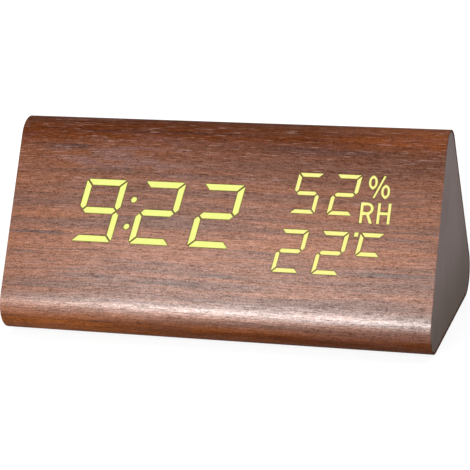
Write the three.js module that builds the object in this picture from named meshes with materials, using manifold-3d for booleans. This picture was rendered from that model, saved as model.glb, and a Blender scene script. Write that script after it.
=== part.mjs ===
// A wooden digital alarm clock: a triangular veneered case with its lit display, the electronics behind it,
// a control panel with three push buttons in the rear face, and a battery compartment under the base.
// Millimetres, +Z up. X runs along the case, -Y is the front, and the feet stand on Z = 0.

import * as THREE from "three";
import { mergeVertices } from "three/addons/utils/BufferGeometryUtils.js";
import Module from "manifold-3d";

// Case: an equilateral triangular tube with rounded corners
const caseLength = 150;
const caseSide = 88.6;
const cornerRadius = 8.85;
const veneerThickness = 0.6;
const glueLine = 0.1;
const wallThickness = 4.5;
const cornerSteps = 6;

// End caps: plates between the veneer's ends, each with a plug that fits inside the tube
const capThickness = 4.5;
const capInset = 0.15;
const plugLength = 3;

// Feet
const footHeight = 1;
const footDiameter = 9;
const footEdge = 0.3;
const footAcrossShare = 0.82;
const footDepthShare = 0.46;

// Fits that several pieces share
const fitGap = 0.2;
const seatGap = 0.15;
const overrun = 1;
const filletSteps = 3;

// Display: slanted seven-segment cells that shine out through the front
const slantDegrees = 9.5;
const lightGap = 0.12;
const lightWeb = 0.12;
const cornerCutShare = 0.35;

const timeDigitHeight = 22.2;
const timeDigitWidth = 14.8;
const timeStroke = 2.3;
const timeDigitGap = 6.15;
const timeUnitsAcrossShare = -0.286;
const timeHeightShare = 0.0318;
const colonDotDiameter = 2.25;
const colonSpacing = 9.45;
const colonDrop = 0.45;
const colonAcrossShare = 0.54;

const humidityDigitHeight = 14;
const humidityDigitWidth = 8.8;
const humidityStroke = 1.42;
const humidityDigitGap = 4.05;
const humidityAcrossShare = 0.1963;
const readingsTopShare = 0.2152;

const temperatureDigitHeight = 14.8;
const temperatureDigitWidth = 9.45;
const temperatureStroke = 1.48;
const temperatureDigitGap = 4.25;
const temperatureAcrossShare = 0.1715;
const readingRowGap = 3.1;
const degreeDotSize = 1.5;
const degreeDotGap = 2.65;
const degreeLetterWidth = 8.4;
const degreeLetterHeight = 8;
const degreeLetterGap = 4.15;

// Printed-style signs beside the humidity reading: a per cent sign over the letters R and H
const percentGap = 3.35;
const letterGap = 1.35;
const percentRingWidth = 3.1;
const percentRingHeight = 4.7;
const percentRingStroke = 0.92;
const percentRingSpacing = 4.4;
const percentHeight = 7.7;
const percentSlashWidth = 0.85;
const percentSlashLean = 3.4;
const letterHeight = 7.15;
const letterWidth = 4.55;
const letterStroke = 1.06;
const letterSpacing = 1.2;
const letterRowGap = 1.5;
const letterSlantDegrees = 1.5;
const letterBowlShare = 0.6;
const letterLegTopShare = 0.46;
const letterLegWidth = 1.17;

// Display mask: a black moulding that fills the window in the front wall, with a flange behind the wall
const maskMargin = 1.4;
const maskFlangeThickness = 1.2;
const maskFlangeHeightMargin = 2.6;
const maskPostDiameter = 4.4;

// Light guides: a milky plate with a raised bar in each cell
const guideThickness = 1;
const guideMargin = 0.9;

// Display board and the parts soldered to it
const boardThickness = 1.2;
const ledLength = 1.6;
const ledWidth = 0.8;
const ledHeight = 0.7;
const chipLength = 13;
const chipWidth = 7.6;
const chipHeight = 1.8;
const chipPins = 10;
const chipPinWidth = 0.45;
const chipPinReach = 1.2;
const chipPinThickness = 0.3;
const chipAcrossShare = -0.09;
const crystalDiameter = 2;
const crystalLength = 6;
const crystalAcrossShare = 0.15;
const coinDiameter = 20;
const coinThickness = 3.2;
const coinRim = 1.4;
const coinFloor = 0.6;
const coinAcrossShare = -0.63;
const clipWidth = 5;
const clipThickness = 0.4;
const buzzerDiameter = 12;
const buzzerHeight = 5.5;
const buzzerPortDiameter = 2;
const buzzerPortDepth = 1.5;
const buzzerAcrossShare = 0.69;

// Screws: pan heads with a cross slot
const screwDiameter = 1.9;
const screwHeadDiameter = 3.6;
const screwHeadHeight = 1;
const screwSlotWidth = 0.5;
const screwSlotDepth = 0.5;
const screwSlotShare = 0.66;
const screwBiteShare = 0.75;
const pilotGap = 0.1;
const screwSides = 10;

// Control panel in the rear face
const panelWidth = 84;
const panelHeight = 24;
const panelThickness = 1.8;
const panelCornerRadius = 3.5;
const panelLip = 5.6;
const panelInset = 0.3;
const panelSkirt = 1.2;
const panelHeightShare = -0.023;

// Push buttons and the switches behind them
const buttonDiameter = 7.2;
const buttonHeight = 1.2;
const buttonGap = 0.25;
const buttonTravel = 0.6;
const buttonFlange = 0.6;
const buttonFlangeThickness = 1;
const buttonMarkWidth = 2.8;
const buttonMarkDepth = 0.25;
const buttonMarkLine = 0.5;
const plungerDiameter = 3.4;
const plungerHeight = 1.4;
const plungerDepth = 1.3;
const switchWidth = 6;
const switchHeight = 3.4;

// Control board and the parts on it
const controlBoardThickness = 1.2;
const controlScrewBite = 3;
const controlPostDiameter = 3.4;
const controlRoom = 0.8;
const jackWidth = 7.4;
const jackNoseDiameter = 6.4;
const jackBoreDiameter = 3.7;
const jackBoreDepth = 5.5;
const jackPinDiameter = 1.3;
const jackPinInset = 1;
const sensorWidth = 7;
const sensorHeight = 3.6;
const sensorSlotDepth = 0.8;
const ventSlots = 5;
const ventSlotWidth = 0.8;
const ventSlotLength = 9;
const microphoneDiameter = 6;
const microphoneHeight = 4.8;
const microphonePortDiameter = 1.4;

// Cells: three AAA batteries side by side
const cellDiameter = 10.5;
const cellLength = 44.5;
const cellNubDiameter = 3.8;
const cellNubHeight = 0.9;
const cellEdge = 0.5;
const cellCount = 3;
const cellPitch = 11.4;
const cellSides = 18;

// Contacts at the ends of each bay
const contactThickness = 0.4;
const contactWidth = 8;
const springLength = 4;
const springBaseDiameter = 7.4;
const springTopDiameter = 4.4;
const springWire = 0.55;
const springTurns = 3.5;
const springStepsPerTurn = 8;
const springSides = 5;

// Battery tray
const trayWall = 1.2;
const trayFloor = 1.2;
const trayLip = 4.6;
const trayLipThickness = 2;
const trayLipCornerRadius = 2.5;
const trayDividerThickness = 0.5;
const trayDividerShare = 0.45;

// Battery door: swings on two pins along its rear edge and snaps shut at its front edge
const doorThickness = 2;
const doorInset = 0.3;
const doorLedge = 1.6;
const doorGap = 0.3;
const doorPinDiameter = 1.4;
const doorPinGap = 0.1;
const doorPinBite = 0.8;
const doorEdgeSteps = 8;
const latchWidth = 13;
const latchLength = 8;
const latchSlot = 0.8;
const latchBead = 0.15;
const latchBeadHeight = 0.7;
const latchBeadShare = 0.6;
const latchGrips = 3;
const latchGripWidth = 0.8;
const latchGripDepth = 0.4;
const latchGripPitch = 1.8;
const latchGripShare = 0.7;
const fingerNotchDepth = 2.2;

// Cables inside the case
const leadDiameter = 1.3;
const leadSideSteps = 4;
const leadSteps = 14;
const leadStraight = 4;
const leadAcrossShare = -0.3;
const leadSpacing = 3;
const ribbonWidth = 8;
const ribbonThickness = 0.6;
const ribbonAcrossShare = 0.37;
const ribbonSteps = 16;
const ribbonStraight = 5;
const ribbonSag = 5;

const turn = Math.PI * 2;
const sixty = Math.PI / 3;
const tan60 = Math.tan(sixty);
const sin60 = Math.sin(sixty);

// Sizes worked out from those above
const insideRadius = caseSide / (2 * tan60);
const coreInset = veneerThickness + glueLine;
const hollowInset = coreInset + wallThickness;
const coreLength = caseLength - 2 * (capInset + capThickness + glueLine);
const boardHalfLength = coreLength / 2 - plugLength - fitGap * 2;

const wasm = await Module();
wasm.setup();

// Solids

// A closed three.js geometry as a solid that can be joined and cut
function solid(geometry) {
  const bare = geometry.index ? geometry.toNonIndexed() : geometry.clone();
  bare.deleteAttribute("normal");
  bare.deleteAttribute("uv");
  const merged = mergeVertices(bare);
  return new wasm.Manifold(
    new wasm.Mesh({
      numProp: 3,
      vertProperties: merged.attributes.position.array,
      triVerts: new Uint32Array(merged.index.array),
    }),
  );
}

function geometryOf(body) {
  const mesh = body.getMesh();
  const corners = new Float32Array(mesh.numVert * 3);
  for (let i = 0; i < mesh.numVert; i++)
    corners.set(mesh.vertProperties.subarray(i * mesh.numProp, i * mesh.numProp + 3), i * 3);
  const indexed = new THREE.BufferGeometry();
  indexed.setAttribute("position", new THREE.BufferAttribute(corners, 3));
  indexed.setIndex(new THREE.BufferAttribute(new Uint32Array(mesh.triVerts), 1));
  const flat = indexed.toNonIndexed();
  flat.computeVertexNormals();
  return flat;
}

const join = (first, ...others) => others.reduce((body, next) => body.add(next), first);
const cut = (first, ...tools) => tools.reduce((body, tool) => body.subtract(tool), first);

// A shape extruded along Z from one height to another
function slab(shape, low, high, steps = filletSteps) {
  const geometry = new THREE.ExtrudeGeometry(shape, {
    depth: high - low,
    bevelEnabled: false,
    curveSegments: steps,
  });
  return solid(geometry.translate(0, 0, low));
}

function shapeOf(points) {
  return new THREE.Shape(points.map(([x, y]) => new THREE.Vector2(x, y)));
}

function block(width, height, low, high, x = 0, y = 0) {
  const geometry = new THREE.BoxGeometry(width, height, high - low);
  return solid(geometry.translate(x, y, (low + high) / 2));
}

function rod(diameter, low, high, x = 0, y = 0, sides = 12) {
  const geometry = new THREE.CylinderGeometry(diameter / 2, diameter / 2, high - low, sides);
  return solid(geometry.rotateX(Math.PI / 2).translate(x, y, (low + high) / 2));
}

function roundedRectangle(width, height, radius) {
  const x = width / 2 - radius;
  const y = height / 2 - radius;
  const shape = new THREE.Shape();
  shape.absarc(x, y, radius, 0, turn / 4);
  shape.absarc(-x, y, radius, turn / 4, turn / 2);
  shape.absarc(-x, -y, radius, turn / 2, (turn * 3) / 4);
  shape.absarc(x, -y, radius, (turn * 3) / 4, turn);
  shape.closePath();
  return shape;
}

// A profile of [radius, height] points turned about Z; it starts and ends on the axis
function turned(profile, sides) {
  const points = profile.map(([radius, height]) => new THREE.Vector2(radius, height));
  return solid(new THREE.LatheGeometry(points, sides).rotateX(Math.PI / 2));
}

// Frames: each face of the case has a group whose origin is the middle of the face, on its outside.
// In it X and Y lie in the face, Y up the slope, and Z points out of the case.

const clock = new THREE.Group();

function faceFrame(y, z, rotation) {
  const face = new THREE.Group();
  face.position.set(0, y, z);
  face.rotation.copy(rotation);
  face.updateMatrix();
  clock.add(face);
  return face;
}

const faceMiddle = footHeight + (caseSide * sin60) / 2;
const front = faceFrame(-caseSide / 4, faceMiddle, new THREE.Euler(sixty, 0, 0));
const rear = faceFrame(caseSide / 4, faceMiddle, new THREE.Euler(sixty, 0, Math.PI, "ZYX"));
const base = faceFrame(0, footHeight, new THREE.Euler(Math.PI, 0, 0));

const onFace = (body, face) => body.transform(face.matrix.toArray());
const offFace = (point, face) => new THREE.Vector3(...point).applyMatrix4(face.matrix);

function addPiece(parent, name, body, finished) {
  const mesh = new THREE.Mesh(geometryOf(body), new THREE.MeshStandardMaterial(finished));
  mesh.name = name;
  parent.add(mesh);
  return mesh;
}

// Finishes

const finish = (color, roughness, metalness = 0) => ({ color, roughness, metalness });

const walnut = finish(0x85553d, 0.45);
const fibreboard = finish(0x9c7a56, 0.9);
const capPaint = finish(0x6e625e, 0.6);
const blackPlastic = finish(0x17171a, 0.5);
const greyPlastic = finish(0x3a3a3d, 0.55);
const whitePlastic = finish(0xe8e6e0, 0.5);
const litPlastic = finish(0xfdfd72, 0.4);
const boardGreen = finish(0x14502e, 0.5);
const steel = finish(0xb9bcc0, 0.35, 1);
const nickel = finish(0xc9c6bd, 0.25, 1);
const rubber = finish(0x1b1b1b, 0.9);
const cellWrap = finish(0x2f5f8a, 0.4);
const redCable = finish(0xb02020, 0.5);
const blackCable = finish(0x151515, 0.5);
const greyCable = finish(0x9a9a9a, 0.6);

// Case section

// The case's section, moved inwards by an inset; its corner arcs keep their centres
function section(inset) {
  const centreReach = 2 * (insideRadius - cornerRadius);
  const radius = cornerRadius - inset;
  const shape = new THREE.Shape();
  for (const direction of [turn / 4, (turn * 7) / 12, (turn * 11) / 12]) {
    const y = centreReach * Math.cos(direction);
    const z = insideRadius + centreReach * Math.sin(direction);
    shape.absarc(y, z, radius, direction - sixty, direction + sixty);
  }
  shape.closePath();
  return shape;
}

// The section extruded along X, from one place to another, standing on the feet
function alongCase(shape, from, to) {
  const axes = new THREE.Matrix4().makeBasis(
    new THREE.Vector3(0, 1, 0),
    new THREE.Vector3(0, 0, 1),
    new THREE.Vector3(1, 0, 0),
  );
  const lift = new THREE.Matrix4().makeTranslation(0, 0, footHeight);
  return slab(shape, from, to, cornerSteps).transform(lift.multiply(axes).toArray());
}

function tube(outerInset, innerInset, length) {
  const outer = alongCase(section(outerInset), -length / 2, length / 2);
  const inner = alongCase(section(innerInset), -length / 2 - overrun, length / 2 + overrun);
  return cut(outer, inner);
}

// Display cells: outlines in the front face's frame, as lists of [x, y] points that run anticlockwise

const cellShift = (2 * lightGap + lightWeb) / Math.SQRT2;
const mirrorX = (points) => points.map(([x, y]) => [-x, y]).reverse();
const mirrorY = (points) => points.map(([x, y]) => [x, -y]).reverse();
const halfTurn = (points) => points.map(([x, y]) => [-x, -y]);

// The seven cells of an upright digit about its centre, under their usual letters
function digitCells(width, height, stroke) {
  const x = width / 2;
  const y = height / 2;
  const corner = stroke * cornerCutShare;
  const half = stroke / 2;
  const a = [
    [-x + corner / 2 + cellShift, y - corner / 2],
    [-x + stroke + cellShift, y - stroke],
    [x - stroke - cellShift, y - stroke],
    [x - corner / 2 - cellShift, y - corner / 2],
    [x - corner, y],
    [-x + corner, y],
  ];
  const f = [
    [-x + corner / 2, y - corner / 2 - cellShift],
    [-x, y - corner],
    [-x, half + cellShift],
    [-x + half, cellShift],
    [-x + stroke, half + cellShift],
    [-x + stroke, y - stroke - cellShift],
  ];
  const g = [
    [-x + half + cellShift, 0],
    [-x + stroke + cellShift, -half],
    [x - stroke - cellShift, -half],
    [x - half - cellShift, 0],
    [x - stroke - cellShift, half],
    [-x + stroke + cellShift, half],
  ];
  return { a, b: mirrorX(f), c: halfTurn(f), d: halfTurn(a), e: mirrorY(f), f, g };
}

// The letter after the degree dot: a top bar, a left bar and a bottom bar
function degreeLetter(width, height, stroke) {
  const x = width / 2;
  const y = height / 2;
  const corner = stroke * cornerCutShare;
  const { a, d } = digitCells(width, height, stroke);
  const left = [
    [-x + corner / 2, y - corner / 2 - cellShift],
    [-x, y - corner],
    [-x, -y + corner],
    [-x + corner / 2, -y + corner / 2 + cellShift],
    [-x + stroke, -y + stroke + cellShift],
    [-x + stroke, y - stroke - cellShift],
  ];
  return [a, left, d];
}

function arc(x, y, radiusX, radiusY, from, to, steps) {
  return Array.from({ length: steps + 1 }, (_, i) => {
    const angle = from + ((to - from) * i) / steps;
    return [x + radiusX * Math.cos(angle), y + radiusY * Math.sin(angle)];
  });
}

// A ring as two halves, because the web between them has to hold the piece of veneer in its middle
function ringHalves(width, height, stroke) {
  const outer = [width / 2, height / 2];
  const inner = [width / 2 - stroke, height / 2 - stroke];
  const split = lightGap + lightWeb / 2;
  const half = (side) => {
    const from = side > 0 ? -turn / 4 : turn / 4;
    const outside = arc(0, 0, ...outer, from, from + turn / 2, 8);
    const inside = arc(0, 0, ...inner, from + turn / 2, from, 6);
    const beside = ([x, y]) => [side * Math.max(side * x, split), y];
    return [...outside, ...inside].map(beside);
  };
  return [half(1), half(-1)];
}

// The letter R about its centre, as a stem and a bowl with its leg
function letterR() {
  const x = letterWidth / 2;
  const y = letterHeight / 2;
  const bowlHeight = letterHeight * letterBowlShare;
  const bowlRadius = bowlHeight / 2;
  const inner = bowlRadius - letterStroke;
  const stemSide = -x + letterStroke;
  const from = stemSide + 2 * lightGap + lightWeb;
  const turnAt = x - bowlRadius;
  const legTop = -x + letterWidth * letterLegTopShare;
  const stem = [
    [-x, -y],
    [stemSide, -y],
    [stemSide, y],
    [-x, y],
  ];
  const bowl = [
    [from, y - bowlHeight],
    [legTop, y - bowlHeight],
    [x - letterLegWidth, -y],
    [x, -y],
    [legTop + letterLegWidth, y - bowlHeight],
    ...arc(turnAt, y - bowlRadius, bowlRadius, bowlRadius, -turn / 4, turn / 4, 6).slice(1),
    [from, y],
    [from, y - letterStroke],
    ...arc(turnAt, y - bowlRadius, inner, inner, turn / 4, -turn / 4, 5),
    [from, y - bowlHeight + letterStroke],
  ];
  return [stem, bowl];
}

function letterH() {
  const x = letterWidth / 2;
  const y = letterHeight / 2;
  const inner = x - letterStroke;
  const bar = letterStroke / 2;
  return [
    [
      [-x, -y],
      [-inner, -y],
      [-inner, -bar],
      [inner, -bar],
      [inner, -y],
      [x, -y],
      [x, y],
      [inner, y],
      [inner, bar],
      [-inner, bar],
      [-inner, y],
      [-x, y],
    ],
  ];
}

const leaning = (degrees) => Math.tan((degrees * Math.PI) / 180);

// Leans outlines to the right and moves their centre
function placed(outlines, x, y, lean = leaning(slantDegrees)) {
  return outlines.map((points) => points.map(([px, py]) => [x + px + py * lean, y + py]));
}

const litLetters = { "": "", 2: "abdeg", 5: "acdfg", 9: "abcdfg" };

// One digit's outlines, sorted into those that are lit for the figure shown and the rest
function digit(figure, cells, x, y, shown = "abcdefg") {
  const pick = (wanted) => [...shown].filter(wanted).map((letter) => cells[letter]);
  return {
    lit: placed(pick((letter) => litLetters[figure].includes(letter)), x, y),
    dark: placed(pick((letter) => !litLetters[figure].includes(letter)), x, y),
  };
}

function reading(...parts) {
  return {
    lit: parts.flatMap((part) => part.lit),
    dark: parts.flatMap((part) => part.dark ?? []),
  };
}

function timeReading() {
  const cells = digitCells(timeDigitWidth, timeDigitHeight, timeStroke);
  const pitch = timeDigitWidth + timeDigitGap;
  const units = caseLength * timeUnitsAcrossShare;
  const y = caseSide * timeHeightShare;
  const dot = arc(0, 0, colonDotDiameter / 2, colonDotDiameter / 2, 0, turn, 12).slice(0, -1);
  const colonX = units + pitch * colonAcrossShare;
  const colonY = y - colonDrop;
  const rise = (colonSpacing / 2) * leaning(slantDegrees);
  return reading(
    digit("", cells, units - pitch, y, "bc"),
    digit(9, cells, units, y),
    { lit: placed([dot], colonX + rise, colonY + colonSpacing / 2) },
    { lit: placed([dot], colonX - rise, colonY - colonSpacing / 2) },
    digit(2, cells, units + pitch, y),
    digit(2, cells, units + 2 * pitch, y),
  );
}

const readingsTop = caseSide * readingsTopShare;
const lettersTop = readingsTop - percentHeight - letterRowGap;
const temperatureTop = lettersTop - letterHeight - readingRowGap;

function humidityReading() {
  const cells = digitCells(humidityDigitWidth, humidityDigitHeight, humidityStroke);
  const pitch = humidityDigitWidth + humidityDigitGap;
  const first = caseLength * humidityAcrossShare;
  const y = readingsTop - humidityDigitHeight / 2;
  const rings = ringHalves(percentRingWidth, percentRingHeight, percentRingStroke);
  const digitsEnd = first + pitch + humidityDigitWidth / 2;
  const ringX = digitsEnd + percentGap + percentRingWidth / 2;
  const upperRing = readingsTop - percentRingHeight / 2;
  const lowerRing = readingsTop - percentHeight + percentRingHeight / 2;
  const slashX = ringX + percentRingSpacing / 2;
  const slashHalf = percentSlashWidth / 2;
  const slash = [
    [-slashHalf, -percentHeight / 2],
    [slashHalf, -percentHeight / 2],
    [slashHalf, percentHeight / 2],
    [-slashHalf, percentHeight / 2],
  ];
  const slashLean = percentSlashLean / percentHeight;
  const letterX = digitsEnd + letterGap + letterWidth / 2;
  const letterY = lettersTop - letterHeight / 2;
  const letterLean = leaning(letterSlantDegrees);
  return reading(
    digit(5, cells, first, y),
    digit(2, cells, first + pitch, y),
    { lit: placed(rings, ringX, upperRing, 0) },
    { lit: placed(rings, ringX + percentRingSpacing, lowerRing, 0) },
    { lit: placed([slash], slashX, readingsTop - percentHeight / 2, slashLean) },
    { lit: placed(letterR(), letterX, letterY, letterLean) },
    { lit: placed(letterH(), letterX + letterWidth + letterSpacing, letterY, letterLean) },
  );
}

function temperatureReading() {
  const cells = digitCells(temperatureDigitWidth, temperatureDigitHeight, temperatureStroke);
  const pitch = temperatureDigitWidth + temperatureDigitGap;
  const first = caseLength * temperatureAcrossShare;
  const y = temperatureTop - temperatureDigitHeight / 2;
  const digitsEnd = first + pitch + temperatureDigitWidth / 2;
  const dotHalf = degreeDotSize / 2;
  const dot = [
    [-dotHalf, -dotHalf],
    [dotHalf, -dotHalf],
    [dotHalf, dotHalf],
    [-dotHalf, dotHalf],
  ];
  const dotX = digitsEnd + degreeDotGap + dotHalf;
  const letterX = digitsEnd + degreeLetterGap + degreeLetterWidth / 2;
  const letter = degreeLetter(degreeLetterWidth, degreeLetterHeight, temperatureStroke);
  return reading(
    digit(2, cells, first, y),
    digit(2, cells, first + pitch, y),
    { lit: placed([dot], dotX, temperatureTop - dotHalf) },
    { lit: placed(letter, letterX, temperatureTop - degreeLetterHeight / 2) },
  );
}

const timeCells = timeReading();
const humidityCells = humidityReading();
const temperatureCells = temperatureReading();
const allReadings = [timeCells, humidityCells, temperatureCells];
const litCells = allReadings.flatMap((cells) => cells.lit);
const everyCell = allReadings.flatMap((cells) => [...cells.lit, ...cells.dark]);

// An outline with every edge moved outwards
function grown(points, distance) {
  const edges = points.map(([x, y], i) => {
    const [nextX, nextY] = points[(i + 1) % points.length];
    const length = Math.hypot(nextX - x, nextY - y);
    const out = [(nextY - y) / length, (x - nextX) / length];
    return { at: [x + out[0] * distance, y + out[1] * distance], along: [nextX - x, nextY - y] };
  });
  return edges.map((edge, i) => {
    const before = edges[(i + edges.length - 1) % edges.length];
    const cross = before.along[0] * edge.along[1] - before.along[1] * edge.along[0];
    const dx = edge.at[0] - before.at[0];
    const dy = edge.at[1] - before.at[1];
    const reach = (dx * edge.along[1] - dy * edge.along[0]) / cross;
    return [before.at[0] + before.along[0] * reach, before.at[1] + before.along[1] * reach];
  });
}

function extentOf(outlines) {
  const xs = outlines.flat().map(([x]) => x);
  const ys = outlines.flat().map(([, y]) => y);
  return {
    left: Math.min(...xs),
    right: Math.max(...xs),
    bottom: Math.min(...ys),
    top: Math.max(...ys),
  };
}

const rectangle = ({ left, right, bottom, top }, margin = 0) =>
  shapeOf([
    [left - margin, bottom - margin],
    [right + margin, bottom - margin],
    [right + margin, top + margin],
    [left - margin, top + margin],
  ]);

const display = extentOf(everyCell);
const displayMiddle = (display.top + display.bottom) / 2;

// Screws

// A screw along Z with its head's seat at Z = 0, the head above it and the shank below
function screw(length) {
  const slotLength = screwHeadDiameter * screwSlotShare;
  const slotFloor = screwHeadHeight - screwSlotDepth;
  const slotTop = screwHeadHeight + overrun;
  return cut(
    join(
      rod(screwHeadDiameter, 0, screwHeadHeight, 0, 0, screwSides),
      rod(screwDiameter, -length, overrun / 4, 0, 0, screwSides),
    ),
    block(slotLength, screwSlotWidth, slotFloor, slotTop),
    block(screwSlotWidth, slotLength, slotFloor, slotTop),
  );
}

function addScrew(parent, name, length, x, y, z, inwards = false) {
  const piece = addPiece(parent, name, screw(length), steel);
  piece.position.set(x, y, z);
  if (inwards) piece.rotation.x = Math.PI;
}

// Heights in the front face's frame, from the outside inwards

const maskFace = -coreInset;
const wallBack = -hollowInset;
const flangeFront = wallBack - seatGap;
const flangeBack = flangeFront - maskFlangeThickness;
const guideFront = flangeBack - seatGap;
const guideBack = guideFront - guideThickness;
const boardFront = guideBack - ledHeight - seatGap;
const boardBack = boardFront - boardThickness;
const boardHeight = display.top - display.bottom + 2 * (maskMargin + maskFlangeHeightMargin);
const boardScrewX = boardHalfLength - maskPostDiameter / 2;
const boardScrewY = boardHeight / 2 - maskPostDiameter / 2;
const boardScrewBite = wallThickness * screwBiteShare;
const boardScrews = [
  [-boardScrewX, displayMiddle - boardScrewY],
  [boardScrewX, displayMiddle - boardScrewY],
  [-boardScrewX, displayMiddle + boardScrewY],
  [boardScrewX, displayMiddle + boardScrewY],
];

// Heights in the rear face's frame, and the places of the controls across it

// Places pieces of given widths side by side with even gaps, and gives the middle of each
function spread(widths, room) {
  const names = Object.keys(widths);
  const used = names.reduce((sum, name) => sum + widths[name], 0);
  const gap = (room - used) / (names.length + 1);
  const middles = {};
  let edge = -room / 2;
  for (const name of names) {
    middles[name] = edge + gap + widths[name] / 2;
    edge += gap + widths[name];
  }
  return middles;
}

const panelFace = -panelInset;
const panelBack = panelFace - panelThickness;
const panelSeat = panelBack - seatGap;
const openingWidth = panelWidth - 2 * panelLip;
const buttonFlangeDiameter = buttonDiameter + 2 * buttonFlange;
const openingHeight = buttonFlangeDiameter + 2 * (fitGap + panelSkirt + controlRoom);
const panelY = caseSide * panelHeightShare;
const buttonFlangeFront = panelBack - seatGap;
const buttonFlangeBack = buttonFlangeFront - buttonFlangeThickness;
const plungerTop = buttonFlangeBack - seatGap;
const switchTop = plungerTop - plungerHeight;
const switchBack = switchTop - switchHeight;
const controlBoardFront = switchBack - seatGap;
const controlBoardBack = controlBoardFront - controlBoardThickness;
const panelScrews = [-1, 1].flatMap((sideY) =>
  [-1, 1].map((sideX) => [
    (sideX * (panelWidth - panelLip)) / 2,
    panelY + (sideY * (panelHeight - panelLip)) / 2,
  ]),
);
const panelScrewSeat = panelFace - screwHeadHeight;
const panelScrewLength = panelScrewSeat - panelSeat + (hollowInset + panelSeat) * screwBiteShare;
const controls = spread(
  {
    firstPost: controlPostDiameter,
    jack: jackWidth,
    sensor: sensorWidth,
    microphone: microphoneDiameter,
    set: buttonFlangeDiameter,
    down: buttonFlangeDiameter,
    up: buttonFlangeDiameter,
    lastPost: controlPostDiameter,
  },
  openingWidth - 2 * (fitGap + panelSkirt),
);
const controlPosts = [controls.firstPost, controls.lastPost];
const buttonKinds = ["set", "down", "up"];

// Heights and sizes in the base's frame

const bayLength = cellLength + springLength + contactThickness + 4 * seatGap;
const bayDepth = cellCount * cellPitch;
const doorLength = bayLength + 2 * doorLedge;
const doorDepth = bayDepth + 2 * doorLedge;
const doorFace = -doorInset;
const doorBack = doorFace - doorThickness;
const ledge = doorBack - seatGap;
const cellBottom = ledge - fitGap;
const cellAxis = cellBottom - cellDiameter / 2;
const trayCeiling = cellBottom - cellDiameter - fitGap;
const trayBack = trayCeiling - trayFloor;
const trayBodyLength = doorLength + 2 * (doorGap + trayWall);
const trayBodyDepth = doorDepth + 2 * (doorGap + trayWall);
const trayLipLength = trayBodyLength + 2 * trayLip;
const trayLipDepth = trayBodyDepth + 2 * trayLip;
const traySeat = -trayLipThickness - seatGap;
const trayStep = ledge - trayWall;
const trayScrewX = (trayLipLength - trayLip) / 2;
const trayScrewSeat = -screwHeadHeight;
const trayScrewLength = trayScrewSeat - traySeat + (hollowInset + traySeat) * screwBiteShare;
const doorAxisY = -(doorDepth - doorThickness) / 2;
const doorAxisZ = doorFace - doorThickness / 2;

// Case pieces

function veneerWrap() {
  const windows = litCells.map((points) =>
    onFace(slab(shapeOf(grown(points, lightGap)), -coreInset, overrun), front),
  );
  const panelCut = roundedRectangle(
    panelWidth + 2 * fitGap,
    panelHeight + 2 * fitGap,
    panelCornerRadius + fitGap,
  );
  const trayCut = roundedRectangle(
    trayLipLength + 2 * fitGap,
    trayLipDepth + 2 * fitGap,
    trayLipCornerRadius + fitGap,
  );
  return cut(
    tube(0, veneerThickness, caseLength),
    onFace(slab(panelCut, -coreInset, overrun).translate([0, panelY, 0]), rear),
    onFace(slab(trayCut, -coreInset, overrun), base),
    ...windows,
  );
}

function caseCore() {
  const through = -hollowInset - overrun;
  const windowCut = slab(rectangle(display, maskMargin), through, overrun);
  const boardPilots = boardScrews.map(([x, y]) =>
    rod(screwDiameter + 2 * pilotGap, through, wallBack + boardScrewBite + pilotGap, x, y),
  );
  const pilot = (x, y) => rod(screwDiameter + 2 * pilotGap, through, overrun, x, y);
  const panelSeatCut = roundedRectangle(
    panelWidth + 2 * fitGap,
    panelHeight + 2 * fitGap,
    panelCornerRadius + fitGap,
  );
  const panelThrough = block(openingWidth, openingHeight, through, overrun, 0, panelY);
  const traySeatCut = roundedRectangle(
    trayLipLength + 2 * fitGap,
    trayLipDepth + 2 * fitGap,
    trayLipCornerRadius + fitGap,
  );
  const trayThrough = block(
    trayBodyLength + 2 * fitGap,
    trayBodyDepth + 2 * fitGap,
    through,
    overrun,
  );
  return cut(
    tube(coreInset, hollowInset, coreLength),
    ...[windowCut, ...boardPilots].map((tool) => onFace(tool, front)),
    onFace(slab(panelSeatCut, panelSeat, overrun).translate([0, panelY, 0]), rear),
    ...[panelThrough, ...panelScrews.map(([x, y]) => pilot(x, y))].map((tool) => onFace(tool, rear)),
    onFace(slab(traySeatCut, traySeat, overrun), base),
    ...[trayThrough, pilot(-trayScrewX, 0), pilot(trayScrewX, 0)].map((tool) => onFace(tool, base)),
  );
}

// A cap's plate closes the tube and its plug reaches inside it
function endCap(side) {
  const outside = caseLength / 2 - capInset;
  const inside = outside - capThickness;
  const plugEnd = inside - glueLine - plugLength;
  const span = (from, to) => (side > 0 ? [from, to] : [-to, -from]);
  const plate = alongCase(section(coreInset), ...span(inside, outside));
  const plug = alongCase(section(hollowInset + fitGap), ...span(plugEnd, inside + capThickness / 2));
  return join(plate, plug);
}

function foot() {
  const radius = footDiameter / 2;
  return turned(
    [
      [0, 0],
      [radius - footEdge, 0],
      [radius, footEdge],
      [radius, footHeight - glueLine],
      [0, footHeight - glueLine],
    ],
    20,
  );
}

function addCase() {
  addPiece(clock, "veneer_wrap", veneerWrap(), walnut);
  addPiece(clock, "case_core", caseCore(), fibreboard);
  addPiece(clock, "left_end_cap", endCap(-1), capPaint);
  addPiece(clock, "right_end_cap", endCap(1), capPaint);
  const footX = (caseLength / 2) * footAcrossShare;
  const footY = (caseSide / 2) * footDepthShare;
  const places = {
    foot_front_left: [-footX, -footY],
    foot_front_right: [footX, -footY],
    foot_rear_left: [-footX, footY],
    foot_rear_right: [footX, footY],
  };
  for (const [name, [x, y]] of Object.entries(places))
    addPiece(clock, name, foot(), rubber).position.set(x, y, 0);
}

// Display pieces

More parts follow.
